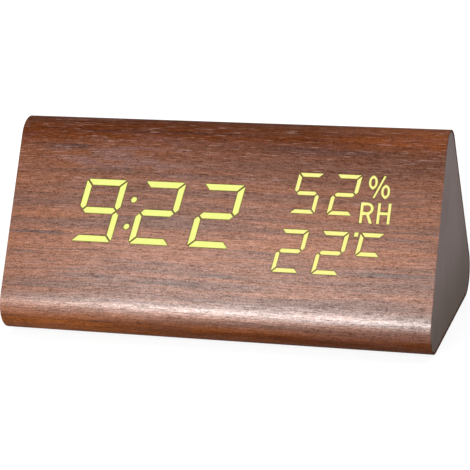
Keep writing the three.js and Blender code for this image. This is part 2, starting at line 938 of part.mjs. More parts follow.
function displayMask() {
  const body = slab(rectangle(display, maskMargin - fitGap), flangeBack, maskFace);
  const flange = block(
    2 * boardHalfLength,
    boardHeight,
    flangeBack,
    flangeFront,
    0,
    displayMiddle,
  );
  const posts = boardScrews.map(([x, y]) =>
    rod(maskPostDiameter, boardFront + seatGap, flangeFront, x, y),
  );
  const screwHoles = boardScrews.map(([x, y]) =>
    rod(screwDiameter + 2 * fitGap, boardFront, overrun, x, y),
  );
  const cells = everyCell.map((points) =>
    slab(shapeOf(grown(points, lightGap)), flangeBack - overrun, overrun),
  );
  return cut(join(body, flange, ...posts), ...screwHoles, ...cells);
}

// A plate behind the mask, with a bar in every cell; the lit bars come flush with the front of the veneer
function lightGuide({ lit, dark }) {
  const plate = slab(rectangle(extentOf([...lit, ...dark]), guideMargin), guideBack, guideFront);
  const bar = (top) => (points) => slab(shapeOf(points), guideBack + guideThickness / 2, top);
  return join(plate, ...lit.map(bar(0)), ...dark.map(bar(-coreInset - seatGap)));
}

function displayBoard() {
  const middle = (points) => {
    const { left, right, bottom, top } = extentOf([points]);
    return [(left + right) / 2, (bottom + top) / 2];
  };
  const leds = everyCell.map((points) => {
    const [x, y] = middle(points);
    return block(ledLength, ledWidth, boardFront - boardThickness / 2, boardFront + ledHeight, x, y);
  });
  const plate = block(2 * boardHalfLength, boardHeight, boardBack, boardFront, 0, displayMiddle);
  const holes = boardScrews.map(([x, y]) =>
    rod(screwDiameter + 2 * fitGap, boardBack - overrun, boardFront + overrun, x, y),
  );
  return cut(join(plate, ...leds), ...holes);
}

function chip() {
  const top = chipHeight;
  const pins = Array.from({ length: chipPins }, (_, i) => {
    const x = ((i + 0.5) / chipPins - 0.5) * chipLength;
    return block(chipPinWidth, chipWidth + 2 * chipPinReach, 0, chipPinThickness, x, 0);
  });
  return join(block(chipLength, chipWidth, 0, top), ...pins);
}

function crystal() {
  const radius = crystalDiameter / 2;
  const edge = radius / 4;
  return turned(
    [
      [0, 0],
      [radius - edge, 0],
      [radius, edge],
      [radius, crystalLength - edge],
      [radius - edge, crystalLength],
      [0, crystalLength],
    ],
    12,
  );
}

function coinHolder() {
  const outer = coinDiameter + 2 * (fitGap + coinRim);
  const pocket = coinDiameter + 2 * fitGap;
  return cut(
    rod(outer, 0, coinFloor + coinThickness, 0, 0, 28),
    rod(pocket, coinFloor, coinFloor + coinThickness + overrun, 0, 0, 28),
  );
}

// A sprung strap over the coin cell, standing on the board on both sides of the holder
function coinClip() {
  const outer = coinDiameter / 2 + fitGap + coinRim + fitGap;
  const top = coinFloor + coinThickness + 2 * seatGap;
  const span = 2 * (outer + clipThickness);
  const leg = (x) => block(clipThickness, clipWidth, 0, top + clipThickness / 2, x, 0);
  const legX = outer + clipThickness / 2;
  return join(block(span, clipWidth, top, top + clipThickness), leg(-legX), leg(legX));
}

function buzzer() {
  return cut(
    rod(buzzerDiameter, 0, buzzerHeight, 0, 0, 24),
    rod(buzzerPortDiameter, buzzerHeight - buzzerPortDepth, buzzerHeight + overrun),
  );
}

function addDisplay() {
  addPiece(front, "display_mask", displayMask(), blackPlastic);
  addPiece(front, "time_light_guide", lightGuide(timeCells), litPlastic);
  addPiece(front, "humidity_light_guide", lightGuide(humidityCells), litPlastic);
  addPiece(front, "temperature_light_guide", lightGuide(temperatureCells), litPlastic);
  addPiece(front, "display_board", displayBoard(), boardGreen);
  boardScrews.forEach(([x, y], i) => {
    const reach = boardScrewBite + wallBack - boardBack + seatGap;
    addScrew(front, `board_screw_${i + 1}`, reach, x, y, boardBack - seatGap, true);
  });

  // On the back of the board, where up in each piece points into the case
  const boardRear = new THREE.Group();
  boardRear.position.set(0, displayMiddle, boardBack - seatGap);
  boardRear.rotation.x = Math.PI;
  front.add(boardRear);
  const across = (share) => boardHalfLength * share;
  addPiece(boardRear, "main_chip", chip(), blackPlastic).position.x = across(chipAcrossShare);
  const can = addPiece(boardRear, "clock_crystal", crystal(), nickel);
  can.rotation.x = -Math.PI / 2;
  can.position.set(across(crystalAcrossShare), -crystalLength / 2, crystalDiameter / 2);
  const coinX = across(coinAcrossShare);
  addPiece(boardRear, "coin_cell_holder", coinHolder(), blackPlastic).position.x = coinX;
  const coin = rod(coinDiameter, coinFloor + seatGap, coinFloor + seatGap + coinThickness, 0, 0, 28);
  addPiece(boardRear, "coin_cell", coin, nickel).position.x = coinX;
  addPiece(boardRear, "coin_cell_clip", coinClip(), steel).position.x = coinX;
  addPiece(boardRear, "buzzer", buzzer(), blackPlastic).position.x = across(buzzerAcrossShare);
}

// Control pieces

function controlPanel() {
  const plate = slab(
    roundedRectangle(panelWidth, panelHeight, panelCornerRadius),
    panelBack,
    panelFace,
  ).translate([0, panelY, 0]);
  const skirtWidth = openingWidth - 2 * fitGap;
  const skirtHeight = openingHeight - 2 * fitGap;
  const skirt = cut(
    block(skirtWidth, skirtHeight, controlBoardBack, panelFace - panelThickness / 2, 0, panelY),
    block(
      skirtWidth - 2 * panelSkirt,
      skirtHeight - 2 * panelSkirt,
      controlBoardBack - overrun,
      panelBack,
      0,
      panelY,
    ),
  );
  const posts = controlPosts.map((x) =>
    rod(controlPostDiameter, controlBoardFront + seatGap, panelFace - panelThickness / 2, x, panelY),
  );
  const postHoles = controlPosts.map((x) =>
    rod(screwDiameter + 2 * pilotGap, controlBoardFront, panelBack, x, panelY),
  );
  const screwSeats = panelScrews.flatMap(([x, y]) => [
    rod(screwHeadDiameter + 2 * fitGap, panelScrewSeat - seatGap, overrun, x, y),
    rod(screwDiameter + 2 * fitGap, panelBack - overrun, overrun, x, y),
  ]);
  const buttonHoles = buttonKinds.map((kind) =>
    rod(buttonDiameter + 2 * buttonGap, panelBack - overrun, overrun, controls[kind], panelY, 20),
  );
  const jackHole = rod(
    jackNoseDiameter + 2 * fitGap,
    panelBack - overrun,
    overrun,
    controls.jack,
    panelY,
    20,
  );
  const ventPitch = (sensorWidth - ventSlotWidth) / (ventSlots - 1);
  const vents = Array.from({ length: ventSlots }, (_, i) => {
    const x = controls.sensor + (i - (ventSlots - 1) / 2) * ventPitch;
    return block(ventSlotWidth, ventSlotLength, panelBack - overrun, overrun, x, panelY);
  });
  const port = rod(
    microphonePortDiameter,
    panelBack - overrun,
    overrun,
    controls.microphone,
    panelY,
    12,
  );
  return cut(
    join(plate, skirt, ...posts),
    ...postHoles,
    ...screwSeats,
    ...buttonHoles,
    jackHole,
    ...vents,
    port,
  );
}

// The sign sunk in each cap: a ring to set, and an arrow down or up
function buttonMark(kind) {
  const floor = panelFace + buttonHeight - buttonMarkDepth;
  const top = panelFace + buttonHeight + overrun;
  const reach = buttonMarkWidth / 2;
  if (kind === "set")
    return cut(
      rod(buttonMarkWidth, floor, top, 0, 0, 14),
      rod(buttonMarkWidth - 2 * buttonMarkLine, floor - overrun, top + overrun, 0, 0, 14),
    );
  const rise = kind === "up" ? reach * sin60 : -reach * sin60;
  return slab(
    shapeOf([
      [-reach, -rise],
      [reach, -rise],
      [0, rise],
    ]),
    floor,
    top,
  );
}

function button(kind) {
  const capTop = panelFace + buttonHeight;
  return cut(
    join(
      rod(buttonDiameter, buttonFlangeBack, capTop, 0, 0, 20),
      rod(buttonFlangeDiameter, buttonFlangeBack, buttonFlangeFront, 0, 0, 20),
    ),
    buttonMark(kind),
  );
}

function switchBody() {
  return cut(
    block(switchWidth, switchWidth, switchBack, switchTop),
    rod(plungerDiameter + 2 * fitGap, switchTop - plungerDepth - buttonTravel - fitGap, overrun),
  );
}

function powerJack() {
  const noseTop = panelFace - seatGap;
  const bodyTop = panelBack - seatGap;
  const boreFloor = noseTop - jackBoreDepth;
  return join(
    cut(
      join(
        block(jackWidth, jackWidth, switchBack, bodyTop),
        rod(jackNoseDiameter, bodyTop - overrun, noseTop),
      ),
      rod(jackBoreDiameter, boreFloor, noseTop + overrun),
    ),
    rod(jackPinDiameter, boreFloor - overrun / 2, noseTop - jackPinInset, 0, 0, 6),
  );
}

function climateSensor() {
  const top = switchBack + sensorHeight;
  const slots = Array.from({ length: ventSlots }, (_, i) => {
    const x = ((i - (ventSlots - 1) / 2) * sensorWidth) / (ventSlots + 1);
    const slotWidth = sensorWidth / (2 * (ventSlots + 1));
    return block(slotWidth, sensorWidth - 2 * slotWidth, top - sensorSlotDepth, top + overrun, x, 0);
  });
  return cut(block(sensorWidth, sensorWidth, switchBack, top), ...slots);
}

// The board that closes the panel's skirt from behind
function controlBoard() {
  const width = openingWidth - 2 * (2 * fitGap + panelSkirt);
  const height = openingHeight - 2 * (2 * fitGap + panelSkirt);
  const holes = controlPosts.map((x) =>
    rod(screwDiameter + 2 * fitGap, controlBoardBack - overrun, overrun, x, panelY),
  );
  return cut(block(width, height, controlBoardBack, controlBoardFront, 0, panelY), ...holes);
}

function addControls() {
  addPiece(rear, "control_panel", controlPanel(), blackPlastic);
  addPiece(rear, "control_board", controlBoard(), boardGreen);
  panelScrews.forEach(([x, y], i) =>
    addScrew(rear, `panel_screw_${i + 1}`, panelScrewLength, x, y, panelScrewSeat),
  );
  controlPosts.forEach((x, i) => {
    const reach = controlBoardThickness + controlScrewBite;
    const name = `control_board_screw_${i + 1}`;
    addScrew(rear, name, reach, x, panelY, controlBoardBack - seatGap, true);
  });
  buttonKinds.forEach((kind) => {
    const x = controls[kind];
    const plunger = rod(plungerDiameter, switchTop - plungerDepth, plungerTop);
    addPiece(rear, `${kind}_button`, button(kind), greyPlastic).position.set(x, panelY, 0);
    addPiece(rear, `${kind}_plunger`, plunger, blackPlastic).position.set(x, panelY, 0);
    addPiece(rear, `${kind}_switch`, switchBody(), steel).position.set(x, panelY, 0);
  });
  addPiece(rear, "power_jack", powerJack(), blackPlastic).position.set(controls.jack, panelY, 0);
  const sensor = addPiece(rear, "climate_sensor", climateSensor(), whitePlastic);
  sensor.position.set(controls.sensor, panelY, 0);
  const capsule = rod(microphoneDiameter, switchBack, switchBack + microphoneHeight, 0, 0, 18);
  addPiece(rear, "microphone", capsule, nickel).position.set(controls.microphone, panelY, 0);
}

// Battery pieces

function batteryTray() {
  const lip = slab(
    roundedRectangle(trayLipLength, trayLipDepth, trayLipCornerRadius),
    -trayLipThickness,
    0,
  );
  const upper = block(trayBodyLength, trayBodyDepth, trayStep, -trayLipThickness / 2);
  const bay = block(bayLength + 2 * trayWall, bayDepth + 2 * trayWall, trayBack, trayStep + trayWall / 2);
  const doorRoom = block(doorLength + 2 * doorGap, doorDepth + 2 * doorGap, ledge, overrun);
  const bayRoom = block(bayLength, bayDepth, trayCeiling, overrun);
  const pinHoles = solid(
    new THREE.CylinderGeometry(
      doorPinDiameter / 2 + doorPinGap,
      doorPinDiameter / 2 + doorPinGap,
      trayBodyLength,
      16,
    )
      .rotateZ(Math.PI / 2)
      .translate(0, doorAxisY, doorAxisZ),
  );
  const notchY = doorDepth / 2 + doorGap;
  const notch = block(latchWidth, 2 * fingerNotchDepth, -trayLipThickness / 2, overrun, 0, notchY);
  const screwSeats = [-trayScrewX, trayScrewX].flatMap((x) => [
    rod(screwHeadDiameter + 2 * fitGap, trayScrewSeat - seatGap, overrun, x, 0),
    rod(screwDiameter + 2 * fitGap, traySeat - overrun, overrun, x, 0),
  ]);
  const dividerTop = trayCeiling + cellDiameter * trayDividerShare;
  const dividers = Array.from({ length: cellCount - 1 }, (_, i) => {
    const y = (i + 1 - cellCount / 2) * cellPitch;
    return block(
      bayLength + trayWall,
      trayDividerThickness,
      trayCeiling - trayFloor / 2,
      dividerTop,
      0,
      y,
    );
  });
  const shell = cut(join(lip, upper, bay), doorRoom, bayRoom, pinHoles, notch, ...screwSeats);
  return join(shell, ...dividers);
}

// The door in the base's frame: its rear edge is round about the pins, its front edge carries the latch
function batteryDoor() {
  const edge = doorThickness / 2;
  const outline = new THREE.Shape();
  outline.moveTo(doorAxisY, doorAxisZ - edge);
  outline.lineTo(doorDepth / 2, doorAxisZ - edge);
  outline.lineTo(doorDepth / 2, doorAxisZ + edge);
  outline.lineTo(doorAxisY, doorAxisZ + edge);
  outline.absarc(doorAxisY, doorAxisZ, edge, turn / 4, (turn * 3) / 4);
  const axes = new THREE.Matrix4().makeBasis(
    new THREE.Vector3(0, 1, 0),
    new THREE.Vector3(0, 0, 1),
    new THREE.Vector3(1, 0, 0),
  );
  const plate = slab(outline, -doorLength / 2, doorLength / 2, doorEdgeSteps).transform(
    axes.toArray(),
  );
  const pinReach = doorLength / 2 + doorGap + doorPinBite;
  const pins = solid(
    new THREE.CylinderGeometry(doorPinDiameter / 2, doorPinDiameter / 2, 2 * pinReach, 16)
      .rotateZ(Math.PI / 2)
      .translate(0, doorAxisY, doorAxisZ),
  );
  const slotY = doorDepth / 2 - latchLength / 2 + overrun / 2;
  const slots = [-1, 1].map((side) =>
    block(
      latchSlot,
      latchLength + overrun,
      doorBack - overrun,
      overrun,
      (side * (latchWidth + latchSlot)) / 2,
      slotY,
    ),
  );
  const grips = Array.from({ length: latchGrips }, (_, i) =>
    block(
      latchWidth * latchGripShare,
      latchGripWidth,
      doorFace - latchGripDepth,
      overrun,
      0,
      doorDepth / 2 - (i + 1) * latchGripPitch,
    ),
  );
  const bead = block(
    latchWidth * latchBeadShare,
    2 * latchBead,
    doorAxisZ - latchBeadHeight / 2,
    doorAxisZ + latchBeadHeight / 2,
    0,
    doorDepth / 2,
  );
  return join(cut(join(plate, pins), ...slots, ...grips), bead);
}

// An AAA cell along X with its middle at the origin and its nub towards +X
function cell() {
  const radius = cellDiameter / 2;
  const low = -cellLength / 2;
  const shoulder = cellLength / 2 - cellNubHeight;
  return turned(
    [
      [0, low],
      [radius - cellEdge, low],
      [radius, low + cellEdge],
      [radius, shoulder - cellEdge],
      [radius - cellEdge, shoulder],
      [cellNubDiameter / 2, shoulder],
      [cellNubDiameter / 2, cellLength / 2],
      [0, cellLength / 2],
    ],
    cellSides,
  ).rotate([0, 90, 0]);
}

// A conical coil along X from its wide end at the origin, one unbroken wire with closed ends
function coil() {
  const steps = Math.round(springTurns * springStepsPerTurn);
  const radius = springWire / 2;
  const reach = springLength - springWire - 2 * seatGap;
  const centre = (share) => {
    const angle = share * springTurns * turn;
    const around =
      (springBaseDiameter + (springTopDiameter - springBaseDiameter) * share) / 2 - radius;
    return new THREE.Vector3(
      radius + reach * share,
      around * Math.cos(angle),
      around * Math.sin(angle),
    );
  };
  const points = [];
  const faces = [];
  for (let i = 0; i <= steps; i++) {
    const middle = centre(i / steps);
    const along = centre((i + 0.5) / steps)
      .sub(centre((i - 0.5) / steps))
      .normalize();
    const side = new THREE.Vector3(1, 0, 0).cross(along).normalize();
    const up = new THREE.Vector3().crossVectors(along, side);
    for (let k = 0; k < springSides; k++) {
      const angle = (k / springSides) * turn;
      const point = middle
        .clone()
        .addScaledVector(side, radius * Math.cos(angle))
        .addScaledVector(up, radius * Math.sin(angle));
      points.push(point.x, point.y, point.z);
    }
  }
  for (let i = 0; i < steps; i++)
    for (let k = 0; k < springSides; k++) {
      const a = i * springSides + k;
      const b = i * springSides + ((k + 1) % springSides);
      faces.push(a, b, b + springSides, a, b + springSides, a + springSides);
    }
  for (let k = 1; k < springSides - 1; k++) {
    const last = steps * springSides;
    faces.push(0, k + 1, k, last, last + k, last + k + 1);
  }
  const geometry = new THREE.BufferGeometry();
  geometry.setAttribute("position", new THREE.BufferAttribute(new Float32Array(points), 3));
  geometry.setIndex(faces);
  return solid(geometry);
}

function addBatteries() {
  addPiece(base, "battery_tray", batteryTray(), blackPlastic);
  addPiece(base, "battery_door", batteryDoor(), blackPlastic);
  addScrew(base, "tray_screw_1", trayScrewLength, -trayScrewX, 0, trayScrewSeat);
  addScrew(base, "tray_screw_2", trayScrewLength, trayScrewX, 0, trayScrewSeat);
  const spring = coil();
  const plate = block(contactWidth, contactWidth, 0, contactThickness);
  for (let i = 0; i < cellCount; i++) {
    // Each bay is a group with X towards the cell's nub, turned end for end in every other bay
    const bay = new THREE.Group();
    const way = i % 2 ? -1 : 1;
    bay.position.set(0, (i - (cellCount - 1) / 2) * cellPitch, cellAxis);
    bay.rotation.z = way > 0 ? 0 : Math.PI;
    base.add(bay);
    const springFoot = -bayLength / 2 + seatGap;
    const cellMiddle = springFoot + springLength + cellLength / 2;
    addPiece(bay, `battery_${i + 1}`, cell(), cellWrap).position.x = cellMiddle;
    addPiece(bay, `battery_spring_${i + 1}`, spring, nickel).position.x = springFoot;
    const contact = addPiece(bay, `battery_contact_${i + 1}`, plate, nickel);
    contact.rotation.y = Math.PI / 2;
    contact.position.x = bayLength / 2 - seatGap - contactThickness;
  }
}

// Cables

// A round cable along a smooth curve through points
function cable(points) {
  const curve = new THREE.CatmullRomCurve3(points, false, "centripetal");
  const ring = new THREE.Shape();
  ring.absarc(0, 0, leadDiameter / 2, 0, turn);
  return solid(
    new THREE.ExtrudeGeometry(ring, {
      steps: leadSteps,
      curveSegments: leadSideSteps,
      extrudePath: curve,
    }),
  );
}

// From the tray's back to the display board, leaving both square to their faces
function leadRoute(x) {
  const trayOut = new THREE.Vector3(0, 0, 1);
  const boardOut = new THREE.Vector3(0, sin60, -0.5);
  const start = offFace([x, bayDepth / 4, trayBack - seatGap * 2], base);
  const end = offFace([x, displayMiddle, boardBack - seatGap * 2], front);
  return [
    start,
    start.clone().addScaledVector(trayOut, leadStraight),
    end.clone().addScaledVector(boardOut, leadStraight),
    end,
  ];
}

// A flat cable in a plane across the case, between the two boards
function ribbon() {
  const start = offFace([0, panelY - openingHeight / 4, controlBoardBack - seatGap * 2], rear);
  const end = offFace([0, displayMiddle, boardBack - seatGap * 2], front);
  const rearOut = new THREE.Vector3(0, -sin60, -0.5).multiplyScalar(ribbonStraight);
  const frontOut = new THREE.Vector3(0, sin60, -0.5).multiplyScalar(ribbonStraight);
  const middle = start.clone().add(end).multiplyScalar(0.5);
  middle.z -= ribbonSag;
  const curve = new THREE.CatmullRomCurve3(
    [start, start.clone().add(rearOut), middle, end.clone().add(frontOut), end],
    false,
    "centripetal",
  );
  const edge = (side) =>
    Array.from({ length: ribbonSteps + 1 }, (_, i) => {
      const at = curve.getPoint(i / ribbonSteps);
      const along = curve.getTangent(i / ribbonSteps);
      const away = (side * ribbonThickness) / 2;
      return [at.y - along.z * away, at.z + along.y * away];
    });
  const outline = shapeOf([...edge(1), ...edge(-1).reverse()]);
  const axes = new THREE.Matrix4().makeBasis(
    new THREE.Vector3(0, 1, 0),
    new THREE.Vector3(0, 0, 1),
    new THREE.Vector3(1, 0, 0),
  );
  const x = openingWidth * ribbonAcrossShare;
  const across = [x - ribbonWidth / 2, x + ribbonWidth / 2];
  return slab(outline, ...across).transform(axes.toArray());
}

function addCables() {
  const between = boardHalfLength * leadAcrossShare;
  const aside = leadSpacing / 2;
  addPiece(clock, "positive_lead", cable(leadRoute(between + aside)), redCable);
  addPiece(clock, "negative_lead", cable(leadRoute(between - aside)), blackCable);
  addPiece(clock, "ribbon_cable", ribbon(), greyCable);
}

addCase();
addDisplay();
addControls();
addBatteries();
addCables();

export default clock;
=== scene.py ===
"""The looks of a wooden digital alarm clock, in metres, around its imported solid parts.

The sections follow the clock as it is put together: veneered case, end caps, feet, display,
display board, control panel, battery compartment, screws and cables.
"""

import math

import bmesh
import bpy
import numpy as np
from mathutils import Matrix, Vector


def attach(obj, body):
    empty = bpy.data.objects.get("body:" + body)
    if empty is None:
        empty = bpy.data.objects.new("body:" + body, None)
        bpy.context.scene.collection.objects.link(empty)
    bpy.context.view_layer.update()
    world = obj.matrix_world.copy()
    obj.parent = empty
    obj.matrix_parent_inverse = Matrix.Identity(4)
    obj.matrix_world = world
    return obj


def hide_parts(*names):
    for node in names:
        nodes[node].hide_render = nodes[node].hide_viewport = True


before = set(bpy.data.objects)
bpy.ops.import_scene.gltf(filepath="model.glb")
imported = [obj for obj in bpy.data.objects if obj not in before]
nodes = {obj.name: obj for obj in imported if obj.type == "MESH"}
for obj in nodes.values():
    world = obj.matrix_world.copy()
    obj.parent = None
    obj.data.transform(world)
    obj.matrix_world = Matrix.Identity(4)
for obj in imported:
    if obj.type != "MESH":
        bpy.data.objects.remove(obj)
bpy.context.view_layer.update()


# ---- The camera
# It stands in front of the clock, a little to the right and above, and is rolled slightly. Its
# place was solved for a square frame from the clock's length and section.


def put(name, data):
    """A new object at the origin that holds this mesh, lamp or camera."""
    piece = bpy.data.objects.new(name, data)
    bpy.context.collection.objects.link(piece)
    return piece


def direction(turn, rise):
    """The unit vector towards these angles: (sin t cos r, -cos t cos r, sin r). Both are 0
    straight in front of the clock."""
    return Vector(
        (math.sin(turn) * math.cos(rise), -math.cos(turn) * math.cos(rise), math.sin(rise))
    )


turn, rise, roll = math.radians(16.919), math.radians(17.246), math.radians(-2.213)
distance, sideways, raised = 0.63881, 0.006122, 0.004781
aim = Vector((0, -0.0243, 0.031))
away = direction(turn, rise)
level = Vector((math.cos(turn), math.sin(turn), 0))
upward = away.cross(level)
camera_right = math.cos(roll) * level + math.sin(roll) * upward
camera_up = math.cos(roll) * upward - math.sin(roll) * level
camera_place = aim + away * distance + level * sideways + upward * raised
turned = Matrix((camera_right, camera_up, away)).transposed().to_4x4()
camera = put("camera", bpy.data.cameras.new("camera"))
camera.matrix_world = Matrix.Translation(camera_place) @ turned
camera.data.lens = 145.62
camera.data.sensor_width = 36
camera.data.clip_start = 0.01
bpy.context.scene.camera = camera
bpy.context.scene.view_settings.view_transform = "Standard"


# ---- The table and the white room
# A plain pale table top keeps the clock's shadow, in a room that the camera sees as white. A
# Finish is one surface's material, and its patterns are sums and products of wires.


class Wire:
    """One output of a node. Sums, products and quotients of wires and numbers add Math nodes."""

    def __init__(self, finish, socket):
        self.finish, self.socket = finish, socket

    def math(self, operation, *others):
        """A Math node's operation on this wire and the others."""
        return self.finish.node("ShaderNodeMath", {"operation": operation}, self, *others)

    def __add__(self, other):
        return self.math("ADD", other)

    def __mul__(self, other):
        return self.math("MULTIPLY", other)

    def __sub__(self, other):
        return self.math("SUBTRACT", other)

    def __rsub__(self, other):
        return self.finish.node("ShaderNodeMath", {"operation": "SUBTRACT"}, other, self)

    def __truediv__(self, other):
        return self.math("DIVIDE", other)

    __radd__ = __add__
    __rmul__ = __mul__

    def near(self, middle, reach):
        """Is 1 within 0.3 of this reach from middle and falls smoothly to 0 at the whole reach."""
        return (self - middle).math("ABSOLUTE").step(reach, 0.3 * reach)

    def step(self, low, high):
        """Goes from 0 at low to 1 at high, smoothly, and is flat outside."""
        smooth = {"interpolation_type": "SMOOTHSTEP"}
        return self.finish.node("ShaderNodeMapRange", smooth, self, low, high, 0.0, 1.0)

    def part(self, number):
        """X, Y or Z of a vector, by its number."""
        return self.finish.node("ShaderNodeSeparateXYZ", None, self, output=number)

    def dot(self, axis):
        """How far a place lies along an axis."""
        dot = {"operation": "DOT_PRODUCT"}
        return self.finish.node("ShaderNodeVectorMath", dot, self, axis, output=1)


def paint(red, green, blue):
    """A colour as it is seen on a screen, 0 to 255, as light values."""
    shares = np.array([red, green, blue]) / 255
    light = np.where(shares > 0.04045, ((shares + 0.055) / 1.055) ** 2.4, shares / 12.92)
    return (*light.tolist(), 1.0)


class Finish:
    """One material around a Principled shader, with constants on the shader's own sockets."""

    def __init__(self, name, **constants):
        self.begin(bpy.data.materials.new(name), "Principled BSDF", constants)

    def begin(self, material, shader, constants):
        """Takes the material's own shader, by its name, and sets its constants."""
        self.material = material
        self.material.use_nodes = True
        self.tree = self.material.node_tree
        self.shader = self.tree.nodes[shader]
        for key, value in constants.items():
            self.shader.inputs[key.replace("_", " ")].default_value = value

    def node(self, kind, settings=None, *values, output=0, at=None, **named):
        """A node of this kind: its settings first, then its sockets in turn, or those numbered in
        at, and those named."""
        made = self.tree.nodes.new(kind)
        for key, value in (settings or {}).items():
            setattr(made, key, value)
        numbered = zip(at or range(len(values)), values)
        for key, value in [*numbered, *named.items()]:
            socket = made.inputs[key.replace("_", " ") if isinstance(key, str) else key]
            if isinstance(value, Wire):
                self.tree.links.new(value.socket, socket)
            else:
                socket.default_value = value
        return Wire(self, made.outputs[output])

    def feed(self, **wires):
        """Links wires to the shader's sockets."""
        for key, wire in wires.items():
            self.tree.links.new(wire.socket, self.shader.inputs[key.replace("_", " ")])
        return self

    def ray(self, kind):
        """Is 1 for rays of this kind and 0 for others."""
        return self.node("ShaderNodeLightPath", output=f"Is {kind} Ray")

    def place(self):
        """The point's place on the object, in millimetres."""
        coordinates = self.node("ShaderNodeTexCoord", output="Object")
        scaled = {"operation": "SCALE"}
        return self.node("ShaderNodeVectorMath", scaled, coordinates, Scale=1000.0)

    def noise(self, place, lengths, detail, roughness=0.5, offset=0.0):
        """Soft random values about 0.5, with this grain size in millimetres along each axis."""
        spread = {"operation": "MULTIPLY_ADD"}
        shares = tuple(1 / length for length in lengths)
        vector = self.node("ShaderNodeVectorMath", spread, place, shares, (offset,) * 3)
        settings = {"Scale": 1.0, "Detail": detail, "Roughness": roughness}
        return self.node("ShaderNodeTexNoise", None, Vector=vector, **settings)

    def blend(self, share, first, second, mode="MIX"):
        """Mixes two colours, from the first at a share of 0 to the second at 1."""
        mix = {"data_type": "RGBA", "blend_type": mode}
        return self.node("ShaderNodeMix", mix, share, first, second, output=2, at=(0, 6, 7))

    def bump(self, height, depth):
        """Relief of the given depth in metres where height goes from 0 to 1."""
        return self.node("ShaderNodeBump", None, Height=height, Distance=depth, Strength=1.0)

    def on(self, *objects):
        """Puts this finish on objects in place of what they had."""
        for piece in objects:
            piece.data.materials.clear()
            piece.data.materials.append(self.material)
        return self


floor_finish = Finish(
    "floor_white",
    Base_Color=(0.18, 0.18, 0.18, 1),
    Emission_Color=(1, 1, 1, 1),
    Roughness=0.9,
    Specular_IOR_Level=0.0,
)
seen = floor_finish.ray("Camera") + floor_finish.ray("Glossy") + floor_finish.ray("Transmission")
from_clock = floor_finish.node(
    "ShaderNodeVectorMath", {"operation": "LENGTH"}, floor_finish.place(), output=1
)
# The table glows white from 330 mm out and a little less within 90 mm of the clock's middle,
# where the lamps add the rest and the shadow shows
near_glow = 0.85
glow = near_glow + from_clock.step(90, 330) * (1 - near_glow)
floor_finish.feed(Emission_Strength=seen * glow)

reach = 6.0
corners = [(-reach, -reach, 0), (reach, -reach, 0), (reach, reach, 0), (-reach, reach, 0)]
mesh = bpy.data.meshes.new("floor")
mesh.from_pydata(corners, [], [(0, 1, 2, 3)])
floor = put("floor", mesh)
floor_finish.on(floor)


class Room(Finish):
    """The world's light, with a Background in place of a surface's shader."""

    def __init__(self, name, **constants):
        self.begin(bpy.data.worlds.new(name), "Background", constants)


# Gloss sees the room's ceiling darker than its walls, and the room's own light on things is weak
room = Room("white_room", Color=(1, 1, 1, 1))
bpy.context.scene.world = room.material
directly, in_gloss, through = room.ray("Camera"), room.ray("Glossy"), room.ray("Transmission")
ceiling = room.node("ShaderNodeTexCoord", output="Generated").part(2).step(0.15, 0.65)
gloss = (1 - ceiling * 0.85) * in_gloss
diffuse = (1 - directly) * (1 - in_gloss) * (1 - through) * (0.3 - ceiling * 0.2)
room.feed(Strength=directly + gloss + through + diffuse)


def softbox(name, azimuth, elevation, distance, width, height, watts):
    """A rectangular lamp at these angles in degrees and this distance, facing the clock."""
    way = direction(math.radians(azimuth), math.radians(elevation))
    lamp = bpy.data.lights.new(name, "AREA")
    lamp.shape = "RECTANGLE"
    lamp.size, lamp.size_y = width, height
    lamp.energy = watts
    piece = put(name, lamp)
    piece.location = Vector((0, 0, 0.03)) + way * distance
    piece.rotation_mode = "QUATERNION"
    piece.rotation_quaternion = way.to_track_quat("Z", "Y")
    piece.visible_camera = False


# Angle round the clock and angle up in degrees, distance, width and height in metres, watts
softbox("front_lamp", -12, 18, 0.46, 0.28, 0.32, 2.0)
softbox("low_strip", -4, 11.5, 0.44, 0.3, 0.14, 1.6)
softbox("right_fill", 84, 52, 0.42, 0.26, 0.26, 0.62)
softbox("left_fill", -112, 34, 0.6, 0.4, 0.4, 0.9)
softbox("rear_fill", 168, 62, 0.7, 0.5, 0.3, 2.0)


# ---- The veneered case
# Thin walnut veneer is wrapped round a fibreboard tube with the grain along it, sanded at the
# rounded corners and sealed with satin lacquer. It is cut through where the display shines out.

weld = 1e-7


def dress(piece, finish, node, body="case"):
    """Lets a piece ride on a body and stand for a solid, and gives it its slot and finish."""
    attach(piece, body)
    if node:
        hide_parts(node)
    finish.on(piece)
    return piece


class Face:
    """A frame on one face of the case, in millimetres: X and Y lie in it and Z points out."""

    def __init__(self, origin, x, y, z):
        self.origin, self.axes = np.array(origin, float), np.array([x, y, z], float)

    def place(self, points):
        """Points in this frame as places in metres."""
        return (self.origin + np.asarray(points) @ self.axes) / 1000

    def reach(self, node):
        """The lowest and highest X, Y and Z of a solid in this frame."""
        corners = np.empty(len(nodes[node].data.vertices) * 3)
        nodes[node].data.vertices.foreach_get("co", corners)
        inside = (corners.reshape(-1, 3) * 1000 - self.origin) @ self.axes.T
        return inside.min(axis=0), inside.max(axis=0)


sin60 = math.sin(math.radians(60))
front = Face((0, -22.15, 39.3646), (1, 0, 0), (0, 0.5, sin60), (0, -sin60, 0.5))

